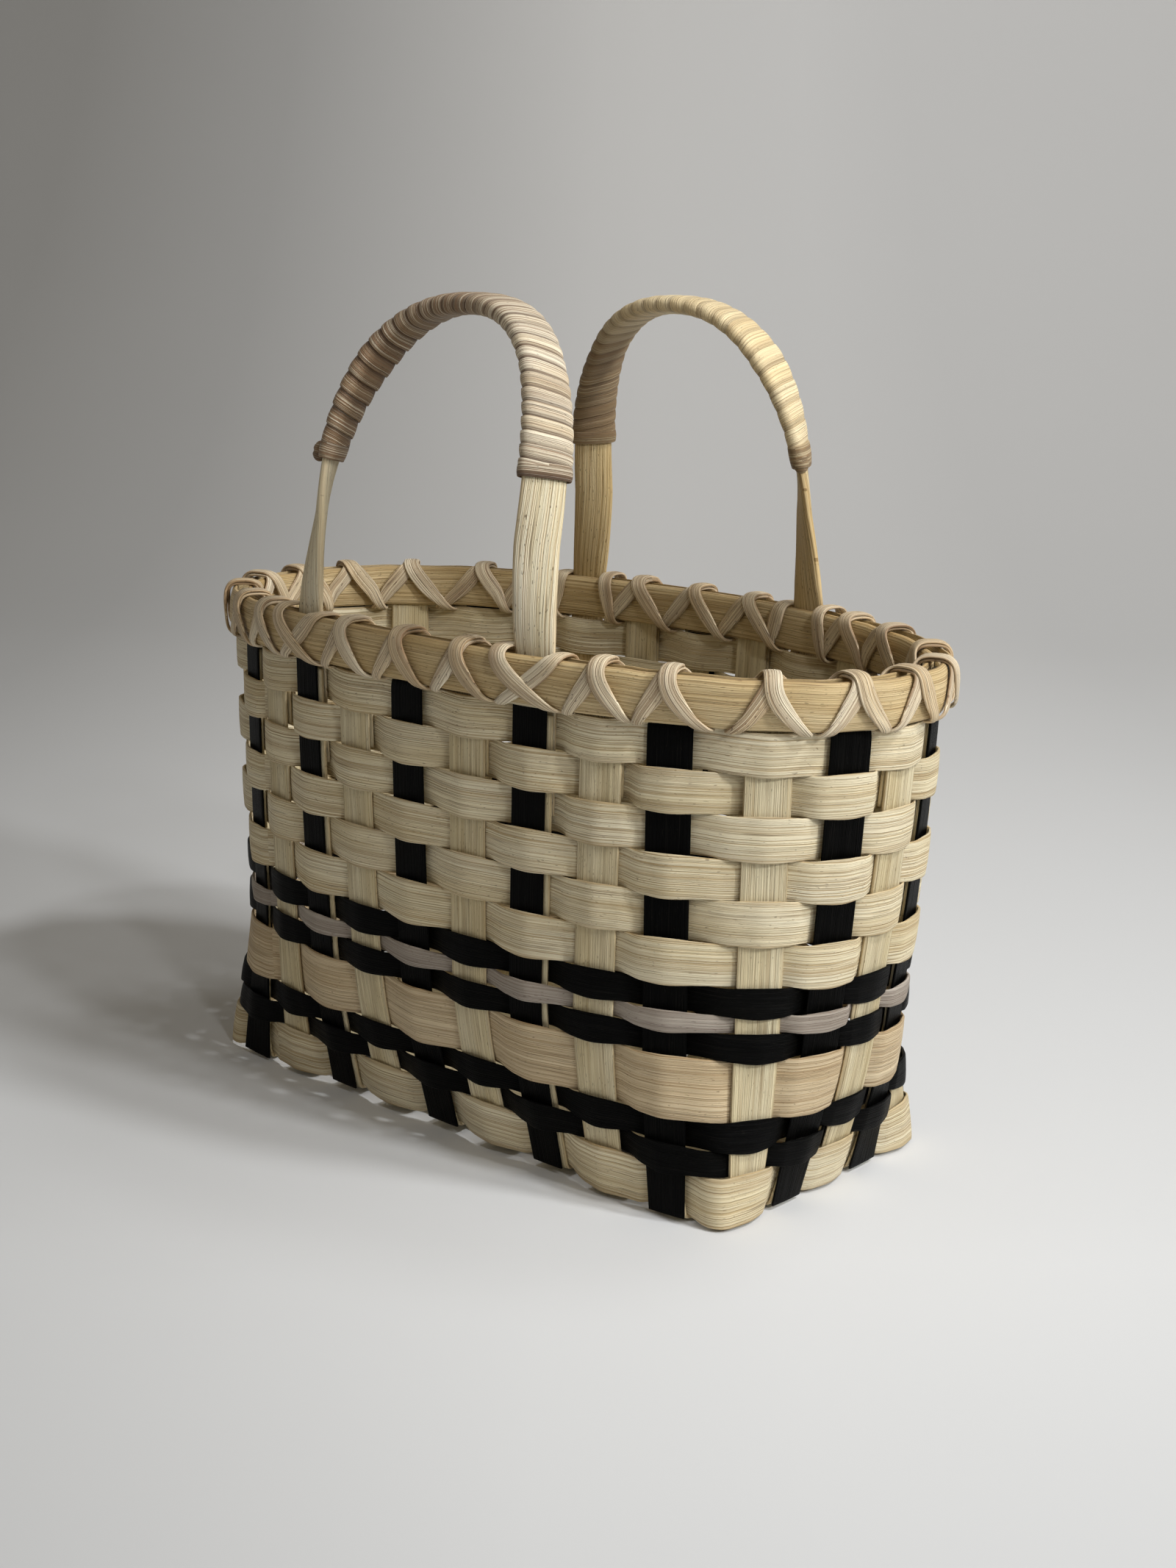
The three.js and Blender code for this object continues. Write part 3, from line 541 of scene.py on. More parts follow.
def cross_stake(index):
    floor = [
        (index * CROSS_PITCH, long * LONG_PITCH + side, base_level(index, long, True))
        for long in LONGS for side in FLOOR_SIDES
    ]
    return stake_parts(find_upright("front", index), floor, find_upright("back", -index), 30 + index)


def long_stake(index):
    floor = [
        (cross * CROSS_PITCH + side, index * LONG_PITCH, base_level(cross, index, False))
        for cross in CROSSES for side in FLOOR_SIDES
    ]
    return stake_parts(find_upright("left", -index), floor, find_upright("right", index), 50 + index)


def overlay_part(i):
    shift = shown_edge(i)
    slot = -(HIDDEN_THICKNESS / 2 + CLEARANCE + OVERLAY_THICKNESS / 2)
    foot = STAKE_THICKNESS + CLEARANCE
    heights = [*np.arange(foot, WALL_HEIGHT - LASH_DROP - 2, 5), WALL_HEIGHT - LASH_DROP]
    stations = [station(i, height, OVERLAY_OFFSET, 0, shift) for height in heights]
    if handled[i]:
        stations.append(station(i, WALL_HEIGHT + EDGE_CLEARANCE, OVERLAY_OFFSET, 0, shift))
    else:
        stations.append(station(i, WALL_HEIGHT + HIDDEN_FOOT - EDGE_CLEARANCE, slot))
        stations.append(station(i, RIM_TOP - HIDDEN_TOP, slot))
    points, normals = even_path(stations, 1.6, 2)
    half_width = (STAKE_WIDTH / 2 - abs(shift)) * uneven(points, 0.01, OVERLAY_SEED + i)
    return strip(points, normals, half_width, OVERLAY_THICKNESS / 2, OVERLAY_CROWN, 70 + i)


# Rim
def hidden_part():
    q = ring_samples(8)
    low, high = WALL_HEIGHT - 1.2, RIM_TOP - HIDDEN_TOP  # no light comes in below the bands
    shift = SLOT_HALF - CLEARANCE - HIDDEN_THICKNESS / 2  # out beside the handles' legs
    reach = np.clip(1.5 - 3 * np.abs(q - np.round(q)), 0, 1) * handled[np.round(q).astype(int) % COUNT]
    across, through = reed_profile(np.full(len(q), (high - low) / 2), HIDDEN_THICKNESS / 2, 0.0)
    return ring_strip(q, (low + high) / 2 + across, (shift * reach)[:, None] + through, across, 90)


BAND_ROUND, BAND_FLAT = 16, 6  # points on the round face and on the flat one
BAND_FULLNESS = 0.62  # below 1 for a face that is rounder at its edges than a circle


def band_part(sign, seed):
    """A rim band: a flat oval reed, flat on the side that faces the wall."""
    q = ring_samples(12)
    turn = np.linspace(0, np.pi, BAND_ROUND)
    across = np.concatenate([np.cos(turn), np.linspace(-0.97, 0.97, BAND_FLAT)])
    bulge = np.concatenate([np.sin(turn) ** BAND_FULLNESS, np.zeros(BAND_FLAT)])
    half = BAND_HEIGHT / 2 * (1 + 0.012 * ring_noise(q, seed, 1))
    middle = WALL_HEIGHT + BAND_HEIGHT / 2 + 0.25 * ring_noise(q, seed + 1, 1)
    out = SLOT_HALF + BAND_THICKNESS * bulge + (0.12 * ring_noise(q, seed + 2, 2))[:, None]
    heights = middle[:, None] + half[:, None] * across
    return ring_strip(q, heights, sign * out, across * BAND_HEIGHT / 2, seed)


# Lashing: round the rim's section once for each upright
LASH_WIDTH = 6.5
LASH_FOOT_WIDTH = 3.7
LASH_SPREAD = 2.5
BESIDE_LEG = 11.8
LASH_STEPS = 64
LASH_IN = 1.0  # thickness of the visible strand
LASH_CROWN = 0.25
LASH_SQUARENESS = 0.42
LEAVES_TOP, REACHES_FOOT = 0.085, 0.425  # shares of a turn, from the rim's top
# For the strand on top and the one below: how late it slants, how far it bows and how far it is raised
LASH_WAYS = {1: (1.55, 1.5, 1.25), -1: (1.15, 0.5, 0.0)}
INNER_SLANT = 1.1


def rim_oval(samples):
    """Offset and height round the rim's section, at shares of its length from the top's middle."""
    half_out = SLOT_HALF + BAND_THICKNESS + LASH_CLEARANCE + LASH_IN / 2
    half_up = BAND_HEIGHT / 2 + LASH_CLEARANCE + LASH_IN / 2
    angle = np.linspace(0, 2 * np.pi, 4001)
    out = half_out * signed_power(np.sin(angle), LASH_SQUARENESS)
    rise = half_up * signed_power(np.cos(angle), LASH_SQUARENESS)
    lengths = np.concatenate([[0], np.cumsum(np.hypot(np.diff(out), np.diff(rise)))])
    at = samples * lengths[-1]
    return np.interp(at, lengths, out), np.interp(at, lengths, rise)


def lash_part(way, start, turns, seed):
    """One length of a strand. seed is the same for all lengths of a strand, so that they meet."""
    t = np.arange(turns * LASH_STEPS + 1) / LASH_STEPS  # whole numbers at the top of each turn
    turn = np.floor(t + 0.5).astype(int)
    share = t - turn  # -0.5 to 0.5: inside going up, then outside going down
    here = (start + way * turn) % COUNT
    slant, bowed, raised = LASH_WAYS[way]
    rng = np.random.default_rng(seed)
    shift = rng.uniform(-0.5, 0.5, COUNT)[here]
    top = np.where(handled[here], -BESIDE_LEG, 0.0) + shift
    outside = share >= 0
    foot = np.where(outside, 0.5, -0.5) * RING_SCALE - LASH_SPREAD
    gone = np.clip((np.abs(share) - LEAVES_TOP) / (REACHES_FOOT - LEAVES_TOP), 0, 1)
    bow = rng.uniform(0.6, 1.3, COUNT)[here] * bowed * outside
    slanted = gone ** np.where(outside, slant, INNER_SLANT)
    lateral = top + (foot - top) * slanted - bow * np.sin(np.pi * gone) * (1 - gone)
    q = start + way * (turn + lateral / RING_SCALE)
    offset, rise = rim_oval(share % 1.0)
    before, before_up = rim_oval((share - 0.004) % 1.0)
    after, after_up = rim_oval((share + 0.004) % 1.0)
    run = unit(np.stack([after - before, after_up - before_up], 1))
    normal_out, normal_up = -run[:, 1], run[:, 0]
    flip = np.where(normal_out * offset + normal_up * rise < 0, -1, 1)
    normal_out, normal_up = normal_out * flip, normal_up * flip
    falls = np.where(outside, blend_between(share, 0.2, 0.42), blend_between(-share, 0.4, 0.49))
    lift = raised * (1 - falls) + 0.12 * line_noise(len(t), 30, seed + 1, len(t))
    middle = WALL_HEIGHT + BAND_HEIGHT / 2
    point, outward = wall_at(q, middle + rise + normal_up * lift)
    point = point + outward * (offset + normal_out * lift)[:, None]
    normal = outward * normal_out[:, None] + np.array([0, 0, 1.0]) * normal_up[:, None]
    low = blend_between(np.abs(share), 0.22, 0.43)
    broad = LASH_WIDTH * (1 + 0.05 * np.exp(-((np.abs(share) - 0.2) / 0.08) ** 2))
    width = broad + (LASH_FOOT_WIDTH - broad) * low
    width = width * (1 + 0.06 * rng.uniform(-1, 1, COUNT)[here] * (1 - low))
    return strip(smoothed(point, 4), unit(smoothed(normal, 4)), width / 2, LASH_IN / 2, LASH_CROWN, seed)


# Handles
OVAL_POINTS = 28
LEG_GROWTH = 10.0  # height above the rim at which a leg has its full thickness


def handle_side(name, sign, lean):
    right = find_upright(name, -sign * HANDLE_UPRIGHT)
    left = find_upright(name, sign * HANDLE_UPRIGHT)
    leg_slot = 2 * SLOT_HALF - HIDDEN_THICKNESS - 3 * CLEARANCE
    seat, _ = station(right, RIM_TOP, -SLOT_HALF + CLEARANCE + leg_slot / 2)
    return {
        "sign": sign,
        "lean": lean,
        "left": left,
        "right": right,
        "leg_slot": leg_slot,
        "wall_turn": math.degrees(math.asin(abs(directions[right, 2, 0]))),
        "seat_x": seat[0],
        "out_y": abs(seat[1]),
        "rim_z": seat[2],
    }


def handle_place(side, x, height):
    share = np.maximum(height, 0) / (HANDLE_LEG + HANDLE_RISE)
    y = side["sign"] * (side["out_y"] - side["lean"] * share * share)
    return np.stack([x, y, side["rim_z"] + height], -1)


def handle_line(side):
    """The handle's middle line above the rim, at even steps."""
    low = np.linspace(0, 36, 10)
    leg_x = -(side["seat_x"] + (HANDLE_SHOULDER - side["seat_x"]) * low / HANDLE_LEG)
    angle = np.linspace(0, np.pi, 721)
    power = 2 / HANDLE_SQUARENESS
    x = -HANDLE_SHOULDER * signed_power(np.cos(angle), power)
    height = HANDLE_LEG + HANDLE_RISE * np.maximum(np.sin(angle), 0) ** power
    rising = handle_place(side, leg_x, low)
    falling = handle_place(side, -leg_x, low)[::-1]
    points = np.concatenate([rising, handle_place(side, x, height), falling])
    lengths = lengths_along(points)
    return sample(np.linspace(0, lengths[-1], int(lengths[-1] / 1.5)), lengths, points)


def handle_frames(side, points):
    tangents = unit(np.gradient(points, axis=0))
    outward = np.array([0.0, side["sign"], 0.0])
    radial = unit(np.cross(tangents, outward))
    below = (radial[:, 2] < -1e-6) | ((np.abs(radial[:, 2]) < 1e-6) & (radial[:, 0] * points[:, 0] < 0))
    radial[below] *= -1
    across = unit(np.cross(radial, tangents))
    across[across[:, 1] * side["sign"] < 0] *= -1
    heights = [0, WRAP_FOOT, HANDLE_LEG + HANDLE_RISE * TWISTED_AT]
    turns = np.radians([side["wall_turn"], TWIST_AT_WRAP, 90])
    twist = np.interp(points[:, 2] - side["rim_z"], heights, turns)[:, None]
    normals = across * np.cos(twist) + radial * np.sin(twist)
    widths = unit(np.cross(tangents, normals))
    return normals, widths


def oval_at(angle, half_width, half_thickness, lift=0.0):
    """(across, through) at an angle round a flat oval with rounded edges, this far outside it."""
    cos, sin = np.cos(angle), np.sin(angle)
    wide = half_width * signed_power(cos, 0.8)
    thick = half_thickness * signed_power(sin, 0.72)
    out_w = signed_power(cos, 1.3) / half_width
    out_t = signed_power(sin, 1.2) / half_thickness
    size = np.hypot(out_w, out_t)
    return wide + lift * out_w / size, thick + lift * out_t / size


def leg_rings(i, above):
    """A leg's tucked part from its pared end up to the rim's top, where it meets the ring above it.
    A ring is its middle, its directions across and through, and half its thickness."""
    sign = math.copysign(1, above[1] @ wall_frame(i, RIM_TOP)[2])
    tail_outer = -(BLACK_STACK + CLEARANCE)
    tail_inner = tail_outer - TAIL_THICKNESS
    slot_inner = -SLOT_HALF + CLEARANCE
    slot_outer = SLOT_HALF - HIDDEN_THICKNESS - 2 * CLEARANCE
    tail_foot = row_foot(LEG_ROWS[1]) + ROW_HEIGHTS[LEG_ROWS[1]] * 0.35
    steps = [
        (tail_foot, tail_inner, tail_outer),
        (WALL_HEIGHT - LASH_DROP - STAKE_THICKNESS, tail_inner, tail_outer),
        (WALL_HEIGHT - EDGE_CLEARANCE, slot_inner, slot_inner + TAIL_THICKNESS),
        (WALL_HEIGHT + 3, slot_inner, slot_outer),
        (RIM_TOP - 1, slot_inner, slot_outer),
    ]
    rings = []
    for height, inner, outer in steps:
        point, normal = station(i, height, (inner + outer) / 2)
        rings.append((point, wall_frame(i, height)[2] * sign, normal, (outer - inner) / 2))
    return rings


def handle_part(side, seed):
    points = handle_line(side)
    normals, widths = handle_frames(side, points)
    height = points[:, 2] - side["rim_z"]
    halves = np.interp(height, [0, LEG_GROWTH], [side["leg_slot"] / 2, HANDLE_THICKNESS / 2])
    body = list(zip(points, widths, normals, halves))
    rings = leg_rings(side["left"], body[0]) + body + leg_rings(side["right"], body[-1])[::-1]
    points, widths, normals, halves = (np.array(rows) for rows in zip(*rings))
    half_width = HANDLE_WIDTH / 2 * uneven(points, 0.02, seed, 35)
    angle = np.linspace(0, 2 * np.pi, OVAL_POINTS, endpoint=False)
    wide, thick = oval_at(angle, half_width[:, None], halves[:, None])
    return spread(points, widths, normals, wide, thick), False, lengths_along(points), wide, seed


# Handle wraps
WRAP_STEPS = 40
WRAP_THICKNESS = 0.9
WRAP_CROWN = 0.3
WRAP_CLEAR, END_CLEAR = 0.5, 1.15  # of the handle: the turns, and the last one at each end
WRAP_HALF = 3.2  # half the reed's width, as its material takes it
WRAP_ROUND = 38.0  # reed in one turn
WRAP_OVERLAP = 0.56  # half the strip's width for each millimetre of its pitch
KNOT_RINGS, KNOT_POINTS = 12, 16
KNOT_POLE = 0.12  # angle of its flat ends
KNOT_IN = 1.0  # its place from the end of the wrapped part


class Wrap:
    """Places along a wrapped handle. crowd is how much closer the turns lie at the end of its line
    than in the middle, as a share of their pitch."""

    def __init__(self, side, turns, crowd):
        self.points = handle_line(side)
        self.normals, self.widths = handle_frames(side, self.points)
        self.lengths = lengths_along(self.points)
        wrapped = self.lengths[self.points[:, 2] - side["rim_z"] > WRAP_FOOT]
        self.first, self.last = wrapped[0], wrapped[-1]
        self.turns, self.crowd = turns, crowd
        self.pitch = (self.last - self.first) / (turns + 1)

    def place(self, turn):
        share = turn / self.turns
        return self.first + self.pitch / 2 + self.pitch * turn * (1 + self.crowd * (1 - share))

    def pitch_at(self, turn):
        return self.pitch * (1 + self.crowd * (1 - 2 * turn / self.turns))

    def frame(self, at):
        rows = (self.points, self.widths, self.normals)
        point, width, normal = (sample(at, self.lengths, v) for v in rows)
        return point, unit(width), unit(normal)

    def reed(self, middle, half, angle, clear, lap=0.0):
        """Sections of reed wound round the handle, this clear of it, and places across the reed as
        the material takes them: the same share of its width all along."""
        across, through = reed_profile(half, WRAP_THICKNESS / 2, WRAP_CROWN)
        share = across / half[:, None]
        lift = clear + through + lap * (0.5 - share / 2)
        wide, thick = oval_at(angle[:, None], HANDLE_WIDTH / 2, HANDLE_THICKNESS / 2, lift)
        point, width, normal = self.frame(middle[:, None] + across)
        return point + width * wide[..., None] + normal * thick[..., None], share * WRAP_HALF


def wrap_parts(side, way, turns, crowd, skew, lap, seed):
    """way is the winding's direction, skew how far its advance is kept to the inner face, and lap how
    much further out the edge that lies over the turn before is."""
    wrap = Wrap(side, turns, crowd)
    turn = np.arange(turns * WRAP_STEPS + 1) / WRAP_STEPS
    angle = way * 2 * np.pi * turn + np.pi / 2
    rng = np.random.default_rng(seed)
    slack = np.interp(turn, np.arange(turns + 2), rng.uniform(-0.25, 0.25, turns + 2))
    middle = wrap.place(turn) - wrap.pitch * skew * np.sin(2 * np.pi * turn) + slack
    half = wrap.pitch_at(turn) * WRAP_OVERLAP
    sections, across = wrap.reed(middle, half, angle, WRAP_CLEAR, lap)
    parts = [(sections, False, turn * WRAP_ROUND, across, seed)]
    # A last turn lies square across the handle at each end.
    angle = np.linspace(0, 2 * np.pi, WRAP_STEPS, endpoint=False)
    for k, last in enumerate(np.full((2, WRAP_STEPS), [[0], [turns]])):
        half = wrap.pitch_at(last) * WRAP_OVERLAP
        sections, across = wrap.reed(wrap.place(last), half, angle, END_CLEAR)
        parts.append((sections, True, angle * WRAP_ROUND / (2 * np.pi), across, seed + 1 + k))
    return parts


def knot_part(side, at_last, wide, out, radii, seed):
    """The knot that fastens a wrap: a small ball at its first or last turn, this far across the
    handle and out of it. radii are its half sizes across, along and out of the handle."""
    wrap = Wrap(side, 1, 0.0)
    at = wrap.last - KNOT_IN if at_last else wrap.first + KNOT_IN
    point, width, normal = wrap.frame(np.array(at))
    run = np.cross(width, normal)
    width = width if width[1] < 0 else -width
    normal = normal if normal[1] * side["sign"] > 0 else -normal
    centre = point + width * wide + normal * out
    polar = np.linspace(KNOT_POLE, np.pi - KNOT_POLE, KNOT_RINGS)[:, None]
    angle = np.linspace(0, 2 * np.pi, KNOT_POINTS, endpoint=False)[None]
    tall = np.cos(polar) * np.ones_like(angle)
    sin = np.sin(polar) * (1 - 0.16 * np.exp(-((tall - 0.1) / 0.16) ** 2))  # with a crease round it
    ball = np.stack([radii[0] * sin * np.cos(angle), radii[1] * tall, radii[2] * sin * np.sin(angle)], -1)
    sections = centre + ball @ np.array([width, run, normal])
    return sections, False, np.linspace(0, 8, KNOT_RINGS), tall * WRAP_HALF, seed


# Materials
SEED_SPREAD = 7.31  # how far apart the grain of two seeds is taken
GRAIN_DEPTH = 0.0003
BACKDROP_GLOW = 0.46


class Nodes:
    """Builds the nodes of a material or of the world."""

    def __init__(self, owner, output="ShaderNodeOutputMaterial"):
        owner.use_nodes = True
        self.owner, self.tree = owner, owner.node_tree
        self.tree.nodes.clear()
        self.output = self.add(output)

    def add(self, kind, sockets=None, **settings):
        """A node with these settings. Its sockets, by name or number, are set or linked."""
        node = self.tree.nodes.new(kind)
        for key, value in settings.items():
            setattr(node, key, value)
        for key, value in (sockets or {}).items():
            if isinstance(value, bpy.types.NodeSocket):
                self.tree.links.new(value, node.inputs[key])
            else:
                node.inputs[key].default_value = value
        return node

    def math(self, operation, a, b=0.5, clamp=False):
        return self.add("ShaderNodeMath", {0: a, 1: b}, operation=operation, use_clamp=clamp).outputs[0]

    def ramp(self, value, low, high, at_low=0.0, at_high=1.0):
        sockets = dict(enumerate((value, low, high, at_low, at_high)))
        return self.add("ShaderNodeMapRange", sockets, clamp=True).outputs[0]

    def mix(self, factor, a, b, blend="MIX"):
        """Two colours mixed: they are sockets 6 and 7 of the node, and its output 2 is the result."""
        sockets = {0: factor, 6: a, 7: b}
        return self.add("ShaderNodeMix", sockets, data_type="RGBA", blend_type=blend).outputs[2]

    def noise(self, vector, scale, detail):
        sockets = {"Vector": vector, "Scale": scale, "Detail": detail}
        return self.add("ShaderNodeTexNoise", sockets).outputs["Fac"]

    def camera_share(self):
        """1 on the camera's rays, also by way of a mirror or glass, and 0 on all others."""
        rays = self.add("ShaderNodeLightPath").outputs
        mirrored = self.math("ADD", rays["Is Glossy Ray"], rays["Is Transmission Ray"])
        return self.math("ADD", rays["Is Camera Ray"], mirrored, clamp=True)

    def surface(self, kind, sockets):
        """Ends the tree with a shader, and gives back the tree's owner."""
        self.tree.links.new(self.add(kind, sockets).outputs[0], self.output.inputs["Surface"])
        return self.owner


def colour(red, green, blue):
    """An sRGB colour from 0 to 255 as linear numbers."""
    linear = [
        v / 12.92 if v <= 0.04045 else ((v + 0.055) / 1.055) ** 2.4
        for v in (red / 255, green / 255, blue / 255)
    ]
    return (*linear, 1.0)


def reed_material(name, colours, half_width, roughness=0.6, specular=0.3,
                  lines=0.6, fibres=0.5, mottle=0.25, tucked=0.0, browner_and_shaded=None):
    """Split reed: fine straight grain, darker fibres, slow changes of colour and darker edges, which are
    partly its own darker fuzz and partly painted shade. colours are its own, a paler one, a darker one
    and its fibres'. tucked darkens it with painted shade towards the edge that goes under the next turn.
    The last argument holds a darker first part's colour and share, and the lengths at which it starts to
    fade and ends; that part is partly the reed's own darker colour and partly painted shade."""
    base, pale, dark, fibre = (colour(*levels) for levels in colours)
    n = Nodes(bpy.data.materials.new(name))
    reed = n.add("ShaderNodeAttribute", attribute_name="reed", attribute_type="GEOMETRY")
    along, across, seed = n.add("ShaderNodeSeparateXYZ", {0: reed.outputs["Vector"]}).outputs

    def grain(length, width, detail, offset=0.0):
        """Noise in marks of this length and width, another one for each seed and offset."""
        place = n.add("ShaderNodeCombineXYZ", {
            0: n.math("DIVIDE", along, length),
            1: n.math("DIVIDE", across, width),
            2: n.math("MULTIPLY", n.math("ADD", seed, offset), SEED_SPREAD),
        })
        return n.noise(place.outputs[0], 1.0, detail)

    slow = grain(70.0, 12.0, 1.0)
    patch = grain(60.0, 4.0, 2.0, 1.7)
    band = grain(150.0, 1.5, 1.0, 5.1)
    line = grain(130.0, 0.34, 1.0, 2.9)
    hair = grain(60.0, 0.15, 1.0, 4.3)
    streak = grain(22.0, 0.3, 0.0, 3.3)
    speck = grain(1.6, 0.5, 0.0, 9.1)
    edge = n.math("DIVIDE", n.math("ABSOLUTE", across), half_width)
    # Each layer: what drives it, from which to which value, its share at both, and its colour
    layers = [
        (band, 0.38, 0.68, 0.0, 0.2 * lines, dark),
        (patch, 0.52, 0.72, 0.0, mottle, dark),
        (line, 0.52, 0.62, 0.0, lines, dark),
        (hair, 0.5, 0.68, 0.0, 0.8 * lines, dark),
        (line, 0.34, 0.44, 0.9 * lines, 0.0, pale),
        (streak, 0.68, 0.76, 0.0, fibres, fibre),
        (speck, 0.76, 0.82, 0.0, fibres, fibre),
        # the edges: partly the reed's own darker fuzz, partly painted shade
        (edge, 0.88, 1.0, 0.0, 0.45, dark),
    ]
    # painted shade, partly the reed's own darker colour: a darker first part that fades out along its
    # length
    if browner_and_shaded:
        brown_and_shade, share, fades_from, fades_to = browner_and_shaded
        layers.insert(0, (along, fades_from, fades_to, share, 0.0, colour(*brown_and_shade)))
    # painted shade: each turn of a wrap darkens towards its edge that goes under the next turn
    if tucked:
        layers.append((n.math("DIVIDE", across, half_width), 0.1, 0.75, 0.0, tucked, fibre))
    tone = n.mix(n.ramp(slow, 0.35, 0.65), pale, base)
    for value, low, high, at_low, at_high, shade in layers:
        tone = n.mix(n.ramp(value, low, high, at_low, at_high), tone, shade)
    relief = n.math("ADD", n.math("MULTIPLY", n.ramp(line, 0.4, 0.64, 1.0, 0.0), 0.8),
                    n.math("MULTIPLY", n.ramp(hair, 0.4, 0.65, 1.0, 0.0), 0.35))
    bump = n.add("ShaderNodeBump", {"Strength": 0.9, "Distance": GRAIN_DEPTH, "Height": relief})
    return n.surface("ShaderNodeBsdfPrincipled", {
        "Base Color": tone,
        "Roughness": n.ramp(hair, 0.3, 0.75, roughness - 0.08, roughness + 0.12),
        "Specular IOR Level": specular,
        "Normal": bump.outputs[0],
    })


def floor_material():
    """A pale floor with painted shade: darker at its sides, most to the left of the basket, and in front.
    The camera sees its outer parts glow, as a lit backdrop does, but they light nothing."""
    n = Nodes(bpy.data.materials.new("pale_floor"))
    coords = n.add("ShaderNodeTexCoord").outputs["Object"]

    def metres(direction):
        """How far each point lies in this direction."""
        sockets = {0: coords, 1: (*direction, 0.0)}
        return n.add("ShaderNodeVectorMath", sockets, operation="DOT_PRODUCT").outputs["Value"]

    aside, away = metres(right[:2]), metres(behind)
    # painted shade: darker to the left of the basket, a little to the right and near the front
    shade = n.math("MULTIPLY", n.ramp(aside, -0.45, 0.0, 0.66, 1.0), n.ramp(aside, 0.08, 0.45, 1.0, 0.82))
    shade = n.math("MULTIPLY", shade, n.ramp(away, -0.4, -0.15, 0.8, 1.0))
    tone = n.mix(n.noise(coords, 3.0, 4.0), colour(222, 224, 226), colour(226, 228, 230))
    beside = n.math("SUBTRACT", n.math("ABSOLUTE", aside), n.math("MULTIPLY", away, 0.35))
    glow = n.math("MULTIPLY", n.ramp(away, -0.1, 3.0), n.ramp(aside, -0.75, 0.3, 0.03, 0.3))
    glow = n.math("MAXIMUM", glow, n.ramp(beside, 0.5, 1.9, 0.0, BACKDROP_GLOW))
    glow = n.math("MAXIMUM", glow, n.ramp(away, -2.4, -0.9, BACKDROP_GLOW, 0.0))
    return n.surface("ShaderNodeBsdfPrincipled", {
        "Base Color": n.mix(1.0, tone, shade, "MULTIPLY"),
        "Roughness": 0.9,
        "Specular IOR Level": 0.1,
        "Emission Color": (1.0, 1.0, 1.0, 1.0),
        "Emission Strength": n.math("MULTIPLY", glow, n.camera_share()),
    })


natural = reed_material(
    "natural_reed_grain", [(234, 220, 182), (245, 236, 207), (178, 150, 104), (112, 86, 52)], 8.0,
    lines=0.7)
peach = reed_material(
    "peach_reed_grain", [(212, 190, 152), (226, 208, 174), (162, 132, 92), (108, 80, 50)], 11.5)
stake_natural = reed_material(
    "natural_stake_grain", [(221, 206, 165), (233, 222, 188), (160, 134, 92), (104, 80, 48)], 8.0,
    lines=0.4)
# The black reed's fibres, paler than the black, are painted glints of sheen along its grain.
black_reed = reed_material(
    "black_reed_grain_and_painted_glints", [(4, 4, 4), (8, 8, 7), (2, 2, 2), (30, 28, 25)], 8.0, 0.42, 0.04)
lavender = reed_material(
    "lavender_reed_grain", [(166, 155, 142), (186, 176, 164), (128, 113, 100), (108, 92, 80)], 4.6)
rim_reed = reed_material(
    "rim_reed_grain", [(213, 187, 136), (230, 209, 164), (158, 126, 78), (100, 74, 42)], 8.5, 0.52,
    lines=0.55)
handle_reed = reed_material(
    "pale_handle_grain", [(249, 238, 202), (253, 246, 222), (186, 158, 112), (104, 82, 48)], 8.0, 0.52,
    lines=0.5, fibres=0.75)
yellow_handle_reed = reed_material(
    "yellow_handle_grain", [(222, 196, 142), (236, 216, 170), (166, 132, 78), (100, 76, 42)], 8.0, 0.52,
    fibres=0.75)
lash_reed = reed_material(
    "lashing_reed_grain", [(231, 208, 168), (252, 241, 214), (148, 116, 82), (92, 68, 50)], 3.2, 0.52,
    fibres=0.7, mottle=0.5)
# Each wrap's darker first part is partly the reed's own darker colour and partly painted shade, where
# that end of the wrap lies in shade.
wrap_brown_and_shaded = reed_material(
    "brown_shaded_wrap_grain", [(250, 231, 196), (254, 244, 220), (144, 112, 84), (84, 62, 48)], WRAP_HALF, 0.5,
    lines=0.7, fibres=0.6, mottle=0.3, tucked=0.8, browner_and_shaded=((116, 88, 54), 0.84, 520.0, 780.0))
wrap_pale = reed_material(
    "pale_wrap_grain", [(250, 228, 180), (252, 236, 196), (168, 134, 92), (96, 72, 52)], WRAP_HALF, 0.5,
    lines=0.4, mottle=0.2, tucked=0.35, browner_and_shaded=((106, 82, 54), 0.86, 280.0, 500.0))

# Pieces
ROW_LOOKS = {
    "natural": (natural, "natural_reed"),
    "black": (black_reed, "black_reed"),
    "lavender": (lavender, "lavender_reed"),
    "peach": (peach, "natural_reed"),
}
for i in CROSSES:
    add_piece(f"cross_stake_{i + LAST_CROSS + 1}", stake_natural, cross_stake(i))
for i in LONGS:
    add_piece(f"long_stake_{i + LAST_LONG + 1}", stake_natural, long_stake(i))
for i, u in enumerate(uprights):
    if u["black"]:
        node = f"black_overlay_{u['wall']}_{u['index'] + u['last'] + 1}"
        add_piece(node, black_reed, [overlay_part(i)])
for n, finish in enumerate(ROW_FINISHES):
    material, slot = ROW_LOOKS[finish]
    add_piece(f"weaver_row_{n + 1:02d}", material, [row_part(n)])
add_piece("hidden_rim_row", natural, [hidden_part()])
add_piece("outer_rim", rim_reed, [band_part(1, 300)])
add_piece("inner_rim", rim_reed, [band_part(-1, 310)])

TURNS = COUNT // 2
for way, name, seed in ((1, "lashing_over", 401), (-1, "lashing_under", 400)):
    for part in range(2):
        start = find_upright("back", 1) + way * part * TURNS
        add_piece(f"{name}_{part + 1}", lash_reed, [lash_part(way, start, TURNS, seed)])

